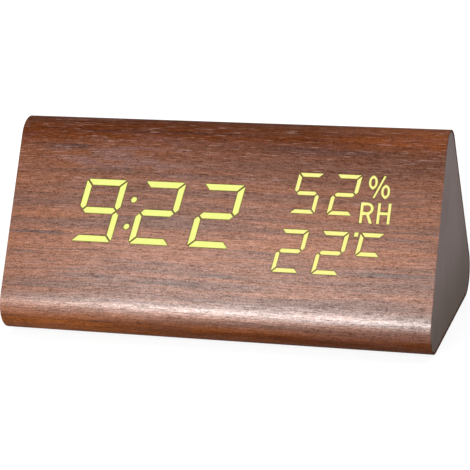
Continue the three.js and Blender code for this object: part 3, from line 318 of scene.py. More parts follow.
# Long dark streaks on the front: place along it, height up its slope, half length and half
# width, all in millimetres, and strength
streak_marks = (
    (-66, -5.1, 14, 0.7, 0.75),
    (-68, -12.3, 10, 0.5, 0.55),
    (-24, -14.8, 19, 0.55, 0.6),
    (3, -17.4, 13, 0.8, 0.5),
    (-45, -20.0, 19, 1.2, 0.5),
    (-14, -21.3, 17, 0.9, 0.45),
    (-58, -24.4, 15, 0.6, 0.45),
    (60, -14.0, 15, 0.6, 0.35),
    (66, -2.6, 10, 0.5, 0.45),
    (-57, 25.4, 14, 1.3, 0.5),
    (-41, 17.6, 16, 0.9, 0.35),
    (38, 26.2, 27, 0.9, 0.4),
    (-24, 31.2, 46, 1.0, 0.55),
    (40, 32.6, 30, 0.7, 0.5),
)


def walnut_finish():
    """Walnut: slow bands of growth, times fine stretched noises that go from dark to pale, with
    long dark streaks, mauve patches, pale pores that are partly pale filler and partly painted
    glints, and painted shade towards the top and on the corners. The lacquer over it is thin in
    the pores and over the corners."""
    wood = Finish("walnut_lacquered", Specular_IOR_Level=0.02, Coat_Roughness=0.28, Coat_IOR=1.7)
    place = wood.place()
    # A slow drift across the grain makes the streaks wander a little along their length
    drift = wood.noise(place, (90, 40, 40), 1.0, offset=3.0) - 0.5
    shift = wood.node("ShaderNodeCombineXYZ", None, 0.0, drift * 1.5, drift * 2.5)
    place = wood.node("ShaderNodeVectorMath", {"operation": "ADD"}, place, shift)
    along, height = place.part(0), place.part(2)
    # The front's middle along its slope, and two levels just inside its plane
    front_middle, front_levels = 23.0154, (37.2, 38.2)
    upslope = place.dot((0, 0.5, math.sqrt(0.75))) - front_middle
    on_front = place.dot((0, -math.sqrt(0.75), 0.5)).step(*front_levels)
    rightwards = along.step(-75, 60)
    # The ground: painted shade darkens it towards the top, and it is darker at the lower left
    bands = wood.noise(place, (150, 9, 9), 3.0, 0.55, offset=11.0) - 0.5
    figure = wood.noise(place, (70, 1.8, 1.8), 3.0, 0.6, offset=5.0) - 0.5
    growth = (bands + figure * 0.8).step(-0.2, 0.2)
    colour = wood.blend(growth, paint(82, 43, 19), paint(120, 67, 33))
    # Painted shade towards the top, a little more on the right
    painted_shade_above = height.step(36, 64) * (0.64 + rightwards * 0.14)
    colour = wood.blend(painted_shade_above, colour, paint(70, 34, 15))
    lower_left = (1 - rightwards) * height.step(6, 18) * (1 - height.step(30, 40))
    colour = wood.blend(lower_left * 0.22, colour, paint(58, 30, 14))
    # Painted shade darkens the corners, most at the left above and the right below
    shaded_corners = height.step(60, 66) * (0.55 - rightwards * 0.4)
    shaded_corners = shaded_corners + (1 - height.step(7, 16)) * (rightwards * 0.75 - 0.05)
    colour = wood.blend(shaded_corners, colour, paint(70, 31, 10))
    warm_corner = height.step(61, 66) * along.step(20, 60)
    colour = wood.blend(warm_corner * 0.55, colour, paint(112, 60, 30))
    # Mauve-grey patches, mostly high on the left of the front
    patches = wood.noise(place, (16, 2.6, 2.6), 3.0, 0.6, offset=23.0).step(0.44, 0.62)
    upper_left = along.near(-36, 34) * upslope.near(21, 10) * on_front
    colour = wood.blend(patches * (0.16 + upper_left * 0.45), colour, paint(96, 68, 64))
    # Long dark streaks: a few placed ones on the front, scattered ones elsewhere
    streaks = wood.noise(place, (9, 0.58, 0.58), 2.0, 0.6, offset=7.0) - 0.5
    ragged = upslope + streaks * 2.2
    marks = wood.noise(place, (46, 1.6, 1.6), 2.0, 0.55, offset=17.0).step(0.62, 0.7) * 0.4
    for middle, level, half_length, half_width, strength in streak_marks:
        mark = along.near(middle, half_length) * ragged.near(level, half_width)
        marks = marks + mark * on_front * strength * 1.15
    colour = wood.blend(marks.math("MINIMUM", 0.85), colour, paint(56, 34, 28))
    # Fine grain multiplies the colour and, below, the share of lacquer
    fibres = wood.noise(place, (2.2, 0.36, 0.36), 1.0, 0.7, offset=2.0) - 0.5
    hairs = wood.noise(place, (0.6, 0.16, 0.16), 1.0, 0.6, offset=51.0) - 0.5
    fine = (1 + streaks * 0.95 + fibres * 1.25 + hairs * 2.0).math("MAXIMUM", 0.3)
    colour = wood.blend(1.0, colour, fine, "MULTIPLY")
    flecks = wood.noise(place, (5.0, 0.32, 0.32), 1.0, 0.5, offset=31.0)
    # Pale pores: pale filler, with painted glints that grow towards the top
    pale_pores_and_glints = flecks.step(0.6, 0.74) * (0.15 + height.step(30, 52) * 0.6)
    colour = wood.blend(pale_pores_and_glints * 0.42, colour, paint(168, 138, 128))
    # The lacquer: full on the flats, thin over the top corner and worn above the lower one
    on_flats = height.step(6.5, 10) * (1 - height.step(46, 66) * 0.55) * (1 - height.step(61, 66))
    worn = (1 - height.step(12, 17)) * height.step(7, 10) * (0.08 + along.step(10, 70) * 0.14)
    lacquer = (0.02 + on_flats * 0.7) * (1 - worn) * (fine * 1.3 - 0.3)
    return wood.feed(
        Base_Color=colour,
        Roughness=0.75 - fine * 0.15,
        Coat_Weight=lacquer,
        Normal=wood.bump(fine, 0.000025),
    )


def veneer_piece(name, node, finish):
    """A copy of the veneer with worn outer ends. Its section is a triangle of corner centres,
    widened by the corner radius, so a normal outside points away from the nearest point of that
    triangle. The lower front corner is sanded unevenly, so the normals near it turn down by up to
    8 degrees and, below that, up by up to 5."""
    half_length, shortest_end_edge, worn_end = 0.075, 0.00085, 0.00015
    mesh = bpy.data.meshes.new(name)
    form = bmesh.new()
    form.from_mesh(nodes[node].data)
    bmesh.ops.remove_doubles(form, verts=form.verts, dist=weld)
    ends = [
        edge
        for edge in form.edges
        if all(abs(abs(corner.co.x) - half_length) < 1e-5 for corner in edge.verts)
        and edge.calc_face_angle(0) > 0.5
        and edge.calc_length() > shortest_end_edge
    ]
    bmesh.ops.bevel(form, geom=ends, offset=worn_end, segments=2, profile=0.5, affect="EDGES")
    # Cuts across the flat front, this many millimetres down its slope, carry the first turned
    # normals
    slope, outside_way = Vector(front.axes[1]), Vector(front.axes[2])
    for downslope in (25.9, 26.8, 27.7):
        cut = Vector(front.place((0, -downslope, 0)))
        facing = [face for face in form.faces if face.normal.dot(outside_way) > 0.99]
        parts = [part for face in facing for part in (face, *face.edges, *face.verts)]
        around = list(dict.fromkeys(parts))
        bmesh.ops.bisect_plane(form, geom=around, dist=weld, plane_co=cut, plane_no=slope)
    count = len(form.verts)

    def first_corners(face):
        """The three lowest numbers of the face's corners, as one number."""
        low, middle, high = sorted(corner.index for corner in face.verts)[:3]
        return (low * count + middle) * count + high

    # A cut leaves its faces in no fixed order, so they are sorted: every run gives the same mesh
    form.verts.index_update()
    form.faces.sort(key=first_corners)
    for face in form.faces:
        face.smooth = True
    for edge in form.edges:
        edge.smooth = edge.calc_face_angle(0) < math.radians(30)
    form.to_mesh(mesh)
    form.free()
    # The nearest point of the triangle of corner centres, for each corner of the mesh
    half_side, radius, foot_height = 0.0443, 0.00885, 0.001
    half, bottom = half_side - radius * math.sqrt(3), foot_height + radius
    peaks = np.array([[-half, bottom], [half, bottom], [0, bottom + half * math.sqrt(3)]])
    places = np.empty(len(mesh.vertices) * 3)
    mesh.vertices.foreach_get("co", places)
    places = places.reshape(-1, 3)
    section = places[:, 1:]
    nearest, least = section * 0, np.full(len(section), np.inf)
    for start, end in ((0, 1), (1, 2), (2, 0)):
        side = peaks[end] - peaks[start]
        share = np.clip((section - peaks[start]) @ side / (side @ side), 0, 1)
        foot = peaks[start] + share[:, None] * side
        apart = np.linalg.norm(section - foot, axis=1)
        nearest = np.where((apart < least)[:, None], foot, nearest)
        least = np.minimum(least, apart)
    outwards = (section - nearest) / least[:, None]
    # The turn in degrees at places down the slope, in millimetres from the front's middle
    worn_at = (25.9, 27.7, 28.9, 30.1, 31.2, 32.4, 33.6, 36.5)
    turned_down = (0, 3.5, 6.8, 7.7, 4.2, -1.5, -5, 0)
    downslope = -(places * 1000 - front.origin) @ front.axes[1]
    on_front = outwards @ front.axes[2, 1:] > 0.3
    turn = np.radians(np.interp(downslope, worn_at, turned_down)) * on_front
    lower = outwards @ np.array([[0, 1], [-1, 0]])
    outwards = outwards * np.cos(turn)[:, None] + lower * np.sin(turn)[:, None]
    # Only faces on the outside take these normals; cut edges and ends keep their own
    corner = np.empty(len(mesh.loops), dtype=np.int32)
    mesh.loops.foreach_get("vertex_index", corner)
    facing = np.empty(len(mesh.polygons) * 3)
    mesh.polygons.foreach_get("normal", facing)
    counts = np.empty(len(mesh.polygons), dtype=np.int32)
    mesh.polygons.foreach_get("loop_total", counts)
    facing = np.repeat(facing.reshape(-1, 3), counts, axis=0)
    normals = np.column_stack([np.zeros(len(corner)), outwards[corner]])
    on_skin = np.abs(least[corner] - radius) < 2e-5
    outside = on_skin & ((facing * normals).sum(axis=1) > 0.97)
    mesh.normals_split_custom_set(np.where(outside[:, None], normals, 0).tolist())
    dress(put(name, mesh), finish, node)


veneer_piece("walnut_veneer", "veneer_wrap", walnut_finish())


# ---- The fibreboard tube
# A mitred and rounded tube of brown fibreboard, milled through for the display, the control
# panel and the battery tray.


def fibreboard_finish():
    """Pressed wood fibres: fine light and dark flecks on a dull tan."""
    board = Finish("fibreboard_bare", Specular_IOR_Level=0.2)
    place = board.place()
    flecks = board.noise(place, (0.5, 0.3, 0.3), 3.0, 0.7)
    clouds = board.noise(place, (9, 9, 9), 2.0)
    colour = board.blend(clouds.step(0.3, 0.7), paint(146, 112, 78), paint(168, 134, 98))
    colour = board.blend(flecks.step(0.55, 0.7) * 0.6, colour, paint(104, 76, 50))
    colour = board.blend((1 - flecks).step(0.55, 0.7) * 0.5, colour, paint(206, 176, 138))
    return board.feed(
        Base_Color=colour,
        Roughness=0.85 + (flecks - 0.5) * 0.2,
        Normal=board.bump(flecks, 0.00008),
    )


fibreboard_finish().on(nodes["case_core"])


# ---- The end caps
# Fibreboard plates with a plug that fits the tube, sprayed a flat grey-brown that shows a slight
# roller grain.


def merged_copy(name, node, finish, body="case", bevel=0.0):
    """A copy of a solid with its corners joined and its curves smooth. Edges of more than 25
    degrees stay sharp, or are rounded by bevel millimetres."""
    sharp_degrees, flat = 25, math.radians(0.5)
    mesh = bpy.data.meshes.new(name)
    form = bmesh.new()
    form.from_mesh(nodes[node].data)
    bmesh.ops.remove_doubles(form, verts=form.verts, dist=weld)
    bmesh.ops.dissolve_limit(form, angle_limit=flat, verts=form.verts, edges=form.edges)
    weight = form.edges.layers.float.new("bevel_weight_edge")
    for edge in form.edges:
        turned_by = math.degrees(edge.calc_face_angle(0))
        edge.smooth = turned_by < sharp_degrees
        edge[weight] = float(turned_by > sharp_degrees)
    for face in form.faces:
        face.smooth = True
    form.to_mesh(mesh)
    form.free()
    piece = put(name, mesh)
    if bevel:
        softened = piece.modifiers.new("worn_edges", "BEVEL")
        softened.limit_method = "WEIGHT"
        softened.width = bevel / 1000
        softened.segments = 2
        softened.use_clamp_overlap = True
    weighted = piece.modifiers.new("flat_faces", "WEIGHTED_NORMAL")
    weighted.keep_sharp = True
    return dress(piece, finish, node, body)


def cap_finish():
    """Matte sprayed paint: soft clouds, fine grain, a few darker specks, and painted shade
    that makes it darker and browner towards the foot.
    """
    coat = Finish("cap_paint_matte", Specular_IOR_Level=0.15)
    place = coat.place()
    clouds = coat.noise(place, (16, 16, 16), 3.0, 0.6)
    grain = coat.noise(place, (0.35, 0.35, 0.35), 2.0, 0.7, offset=4.0)
    specks = coat.noise(place, (0.7, 0.7, 0.7), 0.0, offset=9.0).step(0.72, 0.8)
    colour = coat.blend(clouds.step(0.3, 0.7), paint(129, 112, 107), paint(140, 122, 118))
    colour = coat.blend(specks * 0.35, colour, paint(84, 74, 70))
    # Painted shade: darker and browner towards the foot
    painted_shade_at_foot = 0.7 - place.part(2).step(2, 36) * 0.7
    colour = coat.blend(painted_shade_at_foot, colour, paint(62, 39, 7))
    return coat.feed(
        Base_Color=colour,
        Roughness=0.66 + (grain - 0.5) * 0.2,
        Normal=coat.bump(grain, 0.00003),
    )


cap_paint = cap_finish()
for side in ("left", "right"):
    merged_copy(f"{side}_cap", f"{side}_end_cap", cap_paint, bevel=0.2)


# ---- The feet
# Four soft black rubber discs, moulded with a rounded lower edge, are stuck under the base. They
# have picked up some dust.


def grid_piece(name, points, finish, node, along=None):
    """A grid of points (rows, columns, 3) in metres, closed round its columns, as a piece that
    rides on the case. Rows that shrink to a point close the ends. Along, one value for each row,
    becomes the map's V."""
    pole, sharp = 1e-8, math.radians(32)
    rows, columns = points.shape[:2]
    index = np.arange(rows * columns).reshape(rows, columns)
    here, there = index, np.roll(index, -1, axis=1)
    quads = np.stack([here[:-1], there[:-1], there[1:], here[1:]], axis=-1).reshape(-1, 4)
    mesh = bpy.data.meshes.new(name)
    mesh.from_pydata(points.reshape(-1, 3).tolist(), [], quads.tolist())
    if along is not None:
        shares = np.repeat(np.asarray(along, float), columns)
        corner = np.empty(len(mesh.loops), dtype=np.int32)
        mesh.loops.foreach_get("vertex_index", corner)
        around = (corner % columns) / columns
        layer = mesh.uv_layers.new(name="length")
        layer.data.foreach_set("uv", np.stack([around, shares[corner]], axis=-1).ravel())
    form = bmesh.new()
    form.from_mesh(mesh)
    bmesh.ops.remove_doubles(form, verts=form.verts, dist=pole)
    bmesh.ops.recalc_face_normals(form, faces=form.faces)
    for face in form.faces:
        face.smooth = True
    for edge in form.edges:
        edge.smooth = edge.calc_face_angle(0) < sharp
    form.to_mesh(mesh)
    form.free()
    return dress(put(name, mesh), finish, node)


def turned_points(face, centre, profile, columns=48, sideways=False):
    """A profile of (radius, height) turned about Z of the face through centre: x = r cos t,
    y = r sin t, z = height. Where it lies sideways, it is turned about X in the same way."""
    radius, height = np.array(profile, float).T
    angle = np.arange(columns) * 2 * np.pi / columns
    a, b = radius[:, None] * np.cos(angle), radius[:, None] * np.sin(angle)
    c = np.broadcast_to(height[:, None], a.shape)
    parts = (c, a, b) if sideways else (a, b, c)
    return face.place(np.stack(parts, axis=-1) + np.asarray(centre, float))


def rounded(radius, height, edge, steps=5):
    """Profile points of a quarter circle of radius edge, from a flat top at height to the side:
    r = radius - edge + edge sin t, z = height - edge + edge cos t."""
    angle = np.linspace(0, np.pi / 2, steps + 1)
    return [(radius - edge + edge * np.sin(t), height - edge + edge * np.cos(t)) for t in angle]


def rubber_finish():
    """Soft black rubber with a dusty bloom."""
    rubber = Finish("foot_rubber", Specular_IOR_Level=0.3)
    place = rubber.place()
    dust = rubber.noise(place, (2.5, 2.5, 2.5), 3.0, 0.65)
    colour = rubber.blend(dust.step(0.35, 0.75), paint(26, 26, 27), paint(58, 56, 54))
    return rubber.feed(
        Base_Color=colour,
        Roughness=0.8 + (dust - 0.5) * 0.3,
        Normal=rubber.bump(dust, 0.00004),
    )


base = Face((0, 0, 1), (1, 0, 0), (0, -1, 0), (0, 0, -1))
rubber = rubber_finish()
foot_edge = 0.35
for corner in ("front_left", "front_right", "rear_left", "rear_right"):
    low, high = base.reach(f"foot_{corner}")
    middle, radius, bottom, top = (low + high) / 2, (high[0] - low[0]) / 2, high[2], low[2]
    profile = [(0, bottom), *rounded(radius, bottom, foot_edge), (radius, top), (0, top)]
    points = turned_points(base, (middle[0], middle[1], 0), profile)
    grid_piece(f"rubber_foot_{corner}", points, rubber, f"foot_{corner}")


# ---- The display
# A black moulding behind the veneer has a pocket for every segment. Milky bars fill the lit ones,
# flush with the wood, and glow yellow from LEDs behind them. A dim olive rim inside each bar's
# edge is painted shade, in place of the shaded slot round the bar.


def moulded_finish(name, dark, light, roughness, grain=0.22, sign=None):
    """Injection-moulded plastic: an eroded fine grain with painted shade in its pits, and faint
    flow clouds. A sign, a function of the finish and the place, is where it is filled with white
    paint."""
    plastic = Finish(name)
    place = plastic.place()
    clouds = plastic.noise(place, (11, 7, 7), 2.0)
    pits = plastic.noise(place, (grain, grain, grain), 2.0, 0.6, offset=6.0)
    pit_shade_colour = (*(0.5 * channel for channel in dark[:3]), 1)
    colour = plastic.blend(clouds.step(0.3, 0.7), dark, light)
    # Painted shade: the fine pits are darkened
    colour = plastic.blend(pits.step(0.6, 0.75) * 0.3, colour, pit_shade_colour)
    if sign:
        colour = plastic.blend(sign(plastic, place), colour, paint(188, 188, 182))
    return plastic.feed(
        Base_Color=colour,
        Roughness=roughness + (clouds - 0.5) * 0.12 + (pits - 0.5) * 0.15,
        Normal=plastic.bump(pits, 0.000025),
    )


black_plastic = moulded_finish("black_moulding", paint(24, 24, 26), paint(31, 31, 34), 0.48)
black_plastic.on(nodes["display_mask"])


def glow_finish(name, bright, dim):
    """A milky bar lit from behind: an even glow with a very slight cloudiness."""
    glow = Finish(name, Emission_Strength=1.0, Specular_IOR_Level=0.1, Roughness=0.6)
    clouds = glow.noise(glow.place(), (1.6, 1.6, 1.6), 1.0)
    return glow.feed(
        Emission_Color=glow.blend(clouds.step(0.3, 0.7), dim, bright),
        Base_Color=glow.blend(clouds, paint(70, 70, 30), paint(60, 60, 24)),
    )


time_glow = glow_finish("segment_glow", paint(235, 240, 141), paint(231, 238, 131))
reading_glow = glow_finish("reading_glow", paint(242, 235, 148), paint(238, 233, 138))
# Painted shade: a dim olive glow for the rim inside each bar's edge
rim_shade = glow_finish("segment_rim_shade", paint(100, 90, 30), paint(88, 78, 26))
ahead, on_wood = Vector(front.axes[2]), Vector(front.place((0, 0, 0)))
for reading, glow, rim_width in (
    ("time", time_glow, 0.14),
    ("humidity", reading_glow, 0.08),
    ("temperature", reading_glow, 0.08),
):
    # The bars are flat and sharp. The olive rim of painted shade is inset in each bar's face at
    #     # the wood's level.
    piece = merged_copy(f"{reading}_segments", f"{reading}_light_guide", glow)
    piece.modifiers.clear()
    piece.data.materials.append(rim_shade.material)
    form = bmesh.new()
    form.from_mesh(piece.data)
    lit = [
        face
        for face in form.faces
        if face.normal.dot(ahead) > 0.99 and (face.verts[0].co - on_wood).dot(ahead) > -1e-5
    ]
    inside = set(lit)
    thickness = rim_width / 1000
    bmesh.ops.inset_individual(form, faces=lit, thickness=thickness, use_even_offset=True)
    for face in form.faces:
        face.smooth = False
        face.material_index = int(face not in inside)
    form.to_mesh(piece.data)
    form.free()

# The rings of the per cent sign and the bowl of the letter R are split in the solids, which keeps
# the veneer inside them in place. Short lit bridges join the halves. Sizes in millimetres are the
# solids' own.
digit_width, digit_gap, first_digit = 8.8, 4.05, 150 * 0.1963
ring_half_width, ring_half_height, ring_stroke, ring_spacing = 1.55, 2.35, 0.92, 4.4
sign_height, row_gap, percent_gap, letter_gap = 7.7, 1.5, 3.35, 1.35
letter_width, letter_height, letter_stroke = 4.55, 7.15, 1.06
letter_slant, bowl_share = math.tan(math.radians(1.5)), 0.6


def bridge_points(outline, depth=0.3, proud=0.015):
    """A flat prism over an outline in the front face: the outline at two heights, ends closed."""
    outline = np.array(outline, float)
    middle = outline.mean(axis=0)
    rows = [
        np.column_stack([middle + share * (outline - middle), np.full(len(outline), height)])
        for share, height in ((0.0, -depth), (1.0, -depth), (1.0, proud), (0.0, proud))
    ]
    return front.place(np.stack(rows))


def arc_outline(x, y, half, spread=0.34):
    """The part of a ring's stroke that crosses its split: x within spread, between two ellipses
    y = b sqrt(1 - (x / a)^2). Half is 1 for the ring's upper half and -1 for its lower one."""
    across = np.linspace(-spread, spread, 5)
    edges = []
    for inset in (0, ring_stroke):
        a, b = ring_half_width - inset, ring_half_height - inset
        edges.append(y + half * b * np.sqrt(1 - (across / a) ** 2))
    outer, inner = edges
    return [*zip(x + across, outer), *zip(x + across[::-1], inner[::-1])]


digits_end = first_digit + 1.5 * digit_width + digit_gap
signs_top = 88.6 * 0.2152
ring_x = digits_end + percent_gap + ring_half_width
outlines = {}
for name, x, y in (
    ("upper", ring_x, signs_top - ring_half_height),
    ("lower", ring_x + ring_spacing, signs_top - sign_height + ring_half_height),
):
    outlines[f"{name}_ring_top"] = arc_outline(x, y, 1)
    outlines[f"{name}_ring_foot"] = arc_outline(x, y, -1)
letter_x = digits_end + letter_gap + letter_width / 2
letter_y = signs_top - sign_height - row_gap - letter_height / 2
stem_side = letter_x - letter_width / 2 + letter_stroke
left, right = stem_side - 0.2, stem_side + 0.55
bowl_top = letter_height / 2
bowl_foot = bowl_top - letter_height * bowl_share + letter_stroke
for name, top in (("bowl_top", bowl_top), ("bowl_foot", bowl_foot)):
    foot = top - letter_stroke
    outlines[name] = [
        (x + y * letter_slant, letter_y + y)
        for x, y in ((left, foot), (right, foot), (right, top), (left, top))
    ]
for name, outline in outlines.items():
    points = bridge_points(outline)
    grid_piece(f"sign_bridge_{name}", points, reading_glow, None)


# ---- The display board
# A green circuit board with its LEDs in front, and the clock chip, crystal, backup cell and
# buzzer behind. The clip over the backup cell is sprung steel.


def board_finish(name, up_slope):
    """Solder mask over copper: lanes of brighter tracks that come and go, some with tinned
    pads."""
    board = Finish(name, Specular_IOR_Level=0.6)
    place = board.place()
    lane_width, cell_length, pad_pitch = 1.4, 7, 2.54
    across, lanes = place.part(0), place.dot(up_slope) / lane_width
    lane, dash = lanes.math("FRACT"), (across / pad_pitch).math("FRACT")
    cell_number = (across / cell_length).math("FLOOR")
    cell = board.node("ShaderNodeCombineXYZ", None, cell_number, lanes.math("FLOOR"), 0.0)
    gate = board.node("ShaderNodeTexWhiteNoise", {"noise_dimensions": "3D"}, Vector=cell)
    track = (lane.step(0.3, 0.36) - lane.step(0.64, 0.7)) * gate.step(0.45, 0.5)
    pad = dash.step(0.25, 0.3) - dash.step(0.7, 0.75)
    pad = pad * (lane.step(0.2, 0.25) - lane.step(0.75, 0.8)) * gate.step(0.86, 0.88)
    weave = board.noise(place, (0.6, 0.6, 0.6), 1.0)
    colour = board.blend(weave, paint(18, 74, 44), paint(22, 84, 50))
    colour = board.blend(track * 0.8, colour, paint(38, 118, 70))
    colour = board.blend(pad, colour, paint(196, 196, 188))
    return board.feed(
        Base_Color=colour,
        Roughness=0.42 - pad * 0.12,
        Normal=board.bump(track + pad, 0.00004),
    )


def metal_finish(name, dark, light, roughness):
    """Plated metal: brushed lines along X, faint stains and rougher where it is stained."""
    metal = Finish(name, Metallic=1.0)
    place = metal.place()
    lines = metal.noise(place, (4, 0.25, 0.25), 2.0, 0.6)
    stains = metal.noise(place, (5, 5, 5), 3.0, 0.6, offset=8.0)
    colour = metal.blend(stains.step(0.35, 0.7), light, dark)
    colour = metal.blend((lines - 0.4) * 0.4, colour, dark)
    return metal.feed(
        Base_Color=colour,
        Roughness=roughness + (stains - 0.5) * 0.2 + (lines - 0.5) * 0.12,
        Normal=metal.bump(lines, 0.000004),
    )


steel = metal_finish("zinc_plated_steel", paint(150, 152, 156), paint(196, 198, 202), 0.34)
nickel = metal_finish("nickel_plate", paint(176, 170, 158), paint(214, 209, 198), 0.24)
board_finish("display_board_mask", (0, 0.5, sin60)).on(nodes["display_board"])
black_plastic.on(nodes["main_chip"], nodes["coin_cell_holder"])
steel.on(nodes["coin_cell_clip"])
nickel.on(nodes["clock_crystal"])


def drum_piece(name, node, far_face, edge, finish):
    """A round piece behind the board, turned from a profile. The far face is given as pairs of
    radius, counted from the rim where it is negative, and depth. The far rim is a quarter circle
    of radius edge, and the near face is flat."""
    low, high = front.reach(node)
    middle, radius = (low + high) / 2, (high[0] - low[0]) / 2
    profile = [(r if r >= 0 else radius + r, low[2] + depth) for r, depth in far_face]
    profile += [(r, low[2] + high[2] - z) for r, z in rounded(radius, high[2], edge)]
    profile += [(radius, high[2]), (0, high[2])]
    points = turned_points(front, (middle[0], middle[1], 0), profile, 56)
    grid_piece(name, points, finish, node)


stepped_can = [(0, 0), (-2.2, 0), (-2.0, 0.2), (-1.6, 0.2)]
drum_piece("backup_cell", "coin_cell", stepped_can, 0.4, nickel)
sound_hole = [(0, 1.5), (1.0, 1.5), (1.0, 0.15), (1.15, 0), (2.6, 0), (2.9, 0.25)]
drum_piece("sounder", "buzzer", sound_hole, 0.5, black_plastic)


# ---- The control panel
# A black moulding in the rear face carries the three buttons, the power inlet, sensor slots and a
# microphone hole. Its edges are slightly rounded, and four screws hold it.

rear = Face((0, 22.15, 39.3646), (-1, 0, 0), (0, -0.5, sin60), (0, sin60, 0.5))
panel_plastic = moulded_finish("panel_moulding", paint(25, 25, 27), paint(33, 33, 36), 0.5)
merged_copy("control_moulding", "control_panel", panel_plastic, bevel=0.18)
board_finish("control_board_mask", (0, -0.5, sin60)).on(nodes["control_board"])


def sunk_sign(centre, floor_level):
    """Is 1 on the floor of a button's sunk sign: at its level, and within 2 mm of its middle."""

    def sign(finish, place):
        level = place.dot(tuple(rear.axes[2])) - float(rear.origin @ rear.axes[2])
        distance = {"operation": "DISTANCE"}
        apart = finish.node("ShaderNodeVectorMath", distance, place, centre, output=1)
        return level.near(floor_level, 0.12) * apart.step(2.1, 1.9)

    return sign


sign_depth = 0.25
for kind in ("set", "down", "up"):
    low, high = rear.reach(f"{kind}_button")
    middle, sign_floor = (low + high) / 2, float(high[2]) - sign_depth
    centre = tuple((rear.place((middle[0], middle[1], sign_floor)) * 1000).tolist())
    shades, sign = (paint(58, 58, 61), paint(68, 68, 71)), sunk_sign(centre, sign_floor)
    button_plastic = moulded_finish(f"{kind}_button_moulding", *shades, 0.44, 0.3, sign)
    merged_copy(f"{kind}_cap", f"{kind}_button", button_plastic, f"{kind}_button", bevel=0.1)
    black_plastic.on(nodes[f"{kind}_plunger"])
    steel.on(nodes[f"{kind}_switch"])


def block_points(face, low, high, corner, edge, columns=32):
    """A block with rounded upright corners and softened ends, as rows of a rounded rectangle.

    The rectangle is a circle of radius corner, moved out to each of the four corners by the half
    sizes. The first and last rows shrink to a point.
    """
    middle, half = (np.array(low) + high) / 2, (np.array(high) - low) / 2
    angle = (np.arange(columns) + 0.5) * 2 * np.pi / columns
    unit = np.column_stack([np.cos(angle), np.sin(angle)])
    whole, foot, top = half[0], low[2], high[2]
    insets = (whole, edge, 0, 0, edge, whole)
    heights = (foot, foot, foot + edge, top - edge, top, top)
    rows = []
    for inset, height in zip(insets, heights):
        size = np.maximum(half[:2] - inset, 0)
        bend = min(corner, *size)
        ring = np.sign(unit) * (size - bend) + unit * bend
        if inset == whole:
            ring = ring * 0
        rows.append(np.column_stack([ring + middle[:2], np.full(columns, height)]))
    return face.place(np.stack(rows))


# The inlet's nose stands in the panel's hole, on a body that lies against the panel's back
nose_radius, bore_radius, bore_depth, pin_radius, pin_inset = 3.2, 1.85, 5.5, 0.65, 1.0
seat_gap, panel_thickness = 0.15, 1.8
inlet_plastic = moulded_finish("inlet_moulding", paint(16, 16, 18), paint(22, 22, 24), 0.4)
low, high = rear.reach("power_jack")
x, y, nose_top = (low[0] + high[0]) / 2, (low[1] + high[1]) / 2, high[2]
panel_back = nose_top + seat_gap - panel_thickness
bore_floor, pin_top = nose_top - bore_depth, nose_top - pin_inset
points = block_points(rear, tuple(low), (high[0], high[1], panel_back), 0.4, 0.15)
grid_piece("inlet_body", points, inlet_plastic, "power_jack")
profile = [(nose_radius, panel_back - 0.25), *rounded(nose_radius, nose_top, 0.25)[::-1]]
profile += [(bore_radius + 0.2, nose_top), (bore_radius, nose_top - 0.2)]
profile += [(bore_radius, bore_floor), (0.2, bore_floor), (0, bore_floor)]
points = turned_points(rear, (x, y, 0), profile)
grid_piece("inlet_nose", points, inlet_plastic, None)
profile = [(0, bore_floor - 0.1), (pin_radius, bore_floor - 0.1), (pin_radius, pin_top - 0.3)]
profile += [(pin_radius - 0.1, pin_top - 0.1), (pin_radius - 0.3, pin_top), (0, pin_top)]
points = turned_points(rear, (x, y, 0), profile, 24)
grid_piece("inlet_pin", points, nickel, None)

white_plastic = moulded_finish("sensor_moulding", paint(214, 212, 205), paint(230, 228, 222), 0.5)
white_plastic.on(nodes["climate_sensor"])
nickel.on(nodes["microphone"])


# ---- The battery compartment
# A black tray is let into the base and screwed to it. Its door swings on two pins along the rear
# edge and snaps shut at the front, over three AAA cells.

merged_copy("tray_moulding", "battery_tray", black_plastic, bevel=0.15)
merged_copy("door_moulding", "battery_door", panel_plastic, "battery_door", bevel=0.15)


def cell_finish():
    """A printed sleeve along the cell's map: blue, a thin white line and a copper collar, between
    a steel foot and a steel button."""
    sleeve = Finish("cell_sleeve", Specular_IOR_Level=0.6)
    share = sleeve.node("ShaderNodeUVMap", {"uv_map": "length"}).part(1)
    scuffs = sleeve.noise(sleeve.place(), (6, 0.8, 0.8), 3.0, 0.6)
    blue = sleeve.blend(scuffs.step(0.3, 0.7), paint(34, 82, 128), paint(48, 98, 144))
    colour = sleeve.blend(share.step(0.715, 0.72), blue, paint(226, 224, 216))
    colour = sleeve.blend(share.step(0.74, 0.745), colour, paint(186, 122, 66))
    metal_end = share.step(0.968, 0.972) + (1 - share.step(0.022, 0.026))
    colour = sleeve.blend(metal_end, colour, paint(196, 194, 188))
    return sleeve.feed(
        Base_Color=colour,
        Metallic=metal_end,
        Roughness=0.34 + (scuffs - 0.5) * 0.2,
        Normal=sleeve.bump(scuffs, 0.00001),
    )


def cell_profile(radius, half):
    """A cell's profile along its length, from -half to half: a rounded foot, a rounded shoulder, a
    groove and the button."""
    shoulder = half - 0.9
    foot = [(r, -z) for r, z in rounded(radius, half, 0.6)]
    collar = rounded(radius, shoulder, 0.7)[::-1]
    shaded_groove = [(2.6, shoulder), (2.2, shoulder - 0.15), (1.95, shoulder)]
    button = [(1.9, half - 0.3), (1.7, half - 0.05), (1.4, half)]
    return np.array([(0, -half), *foot, *collar, *shaded_groove, *button, (0, half)])


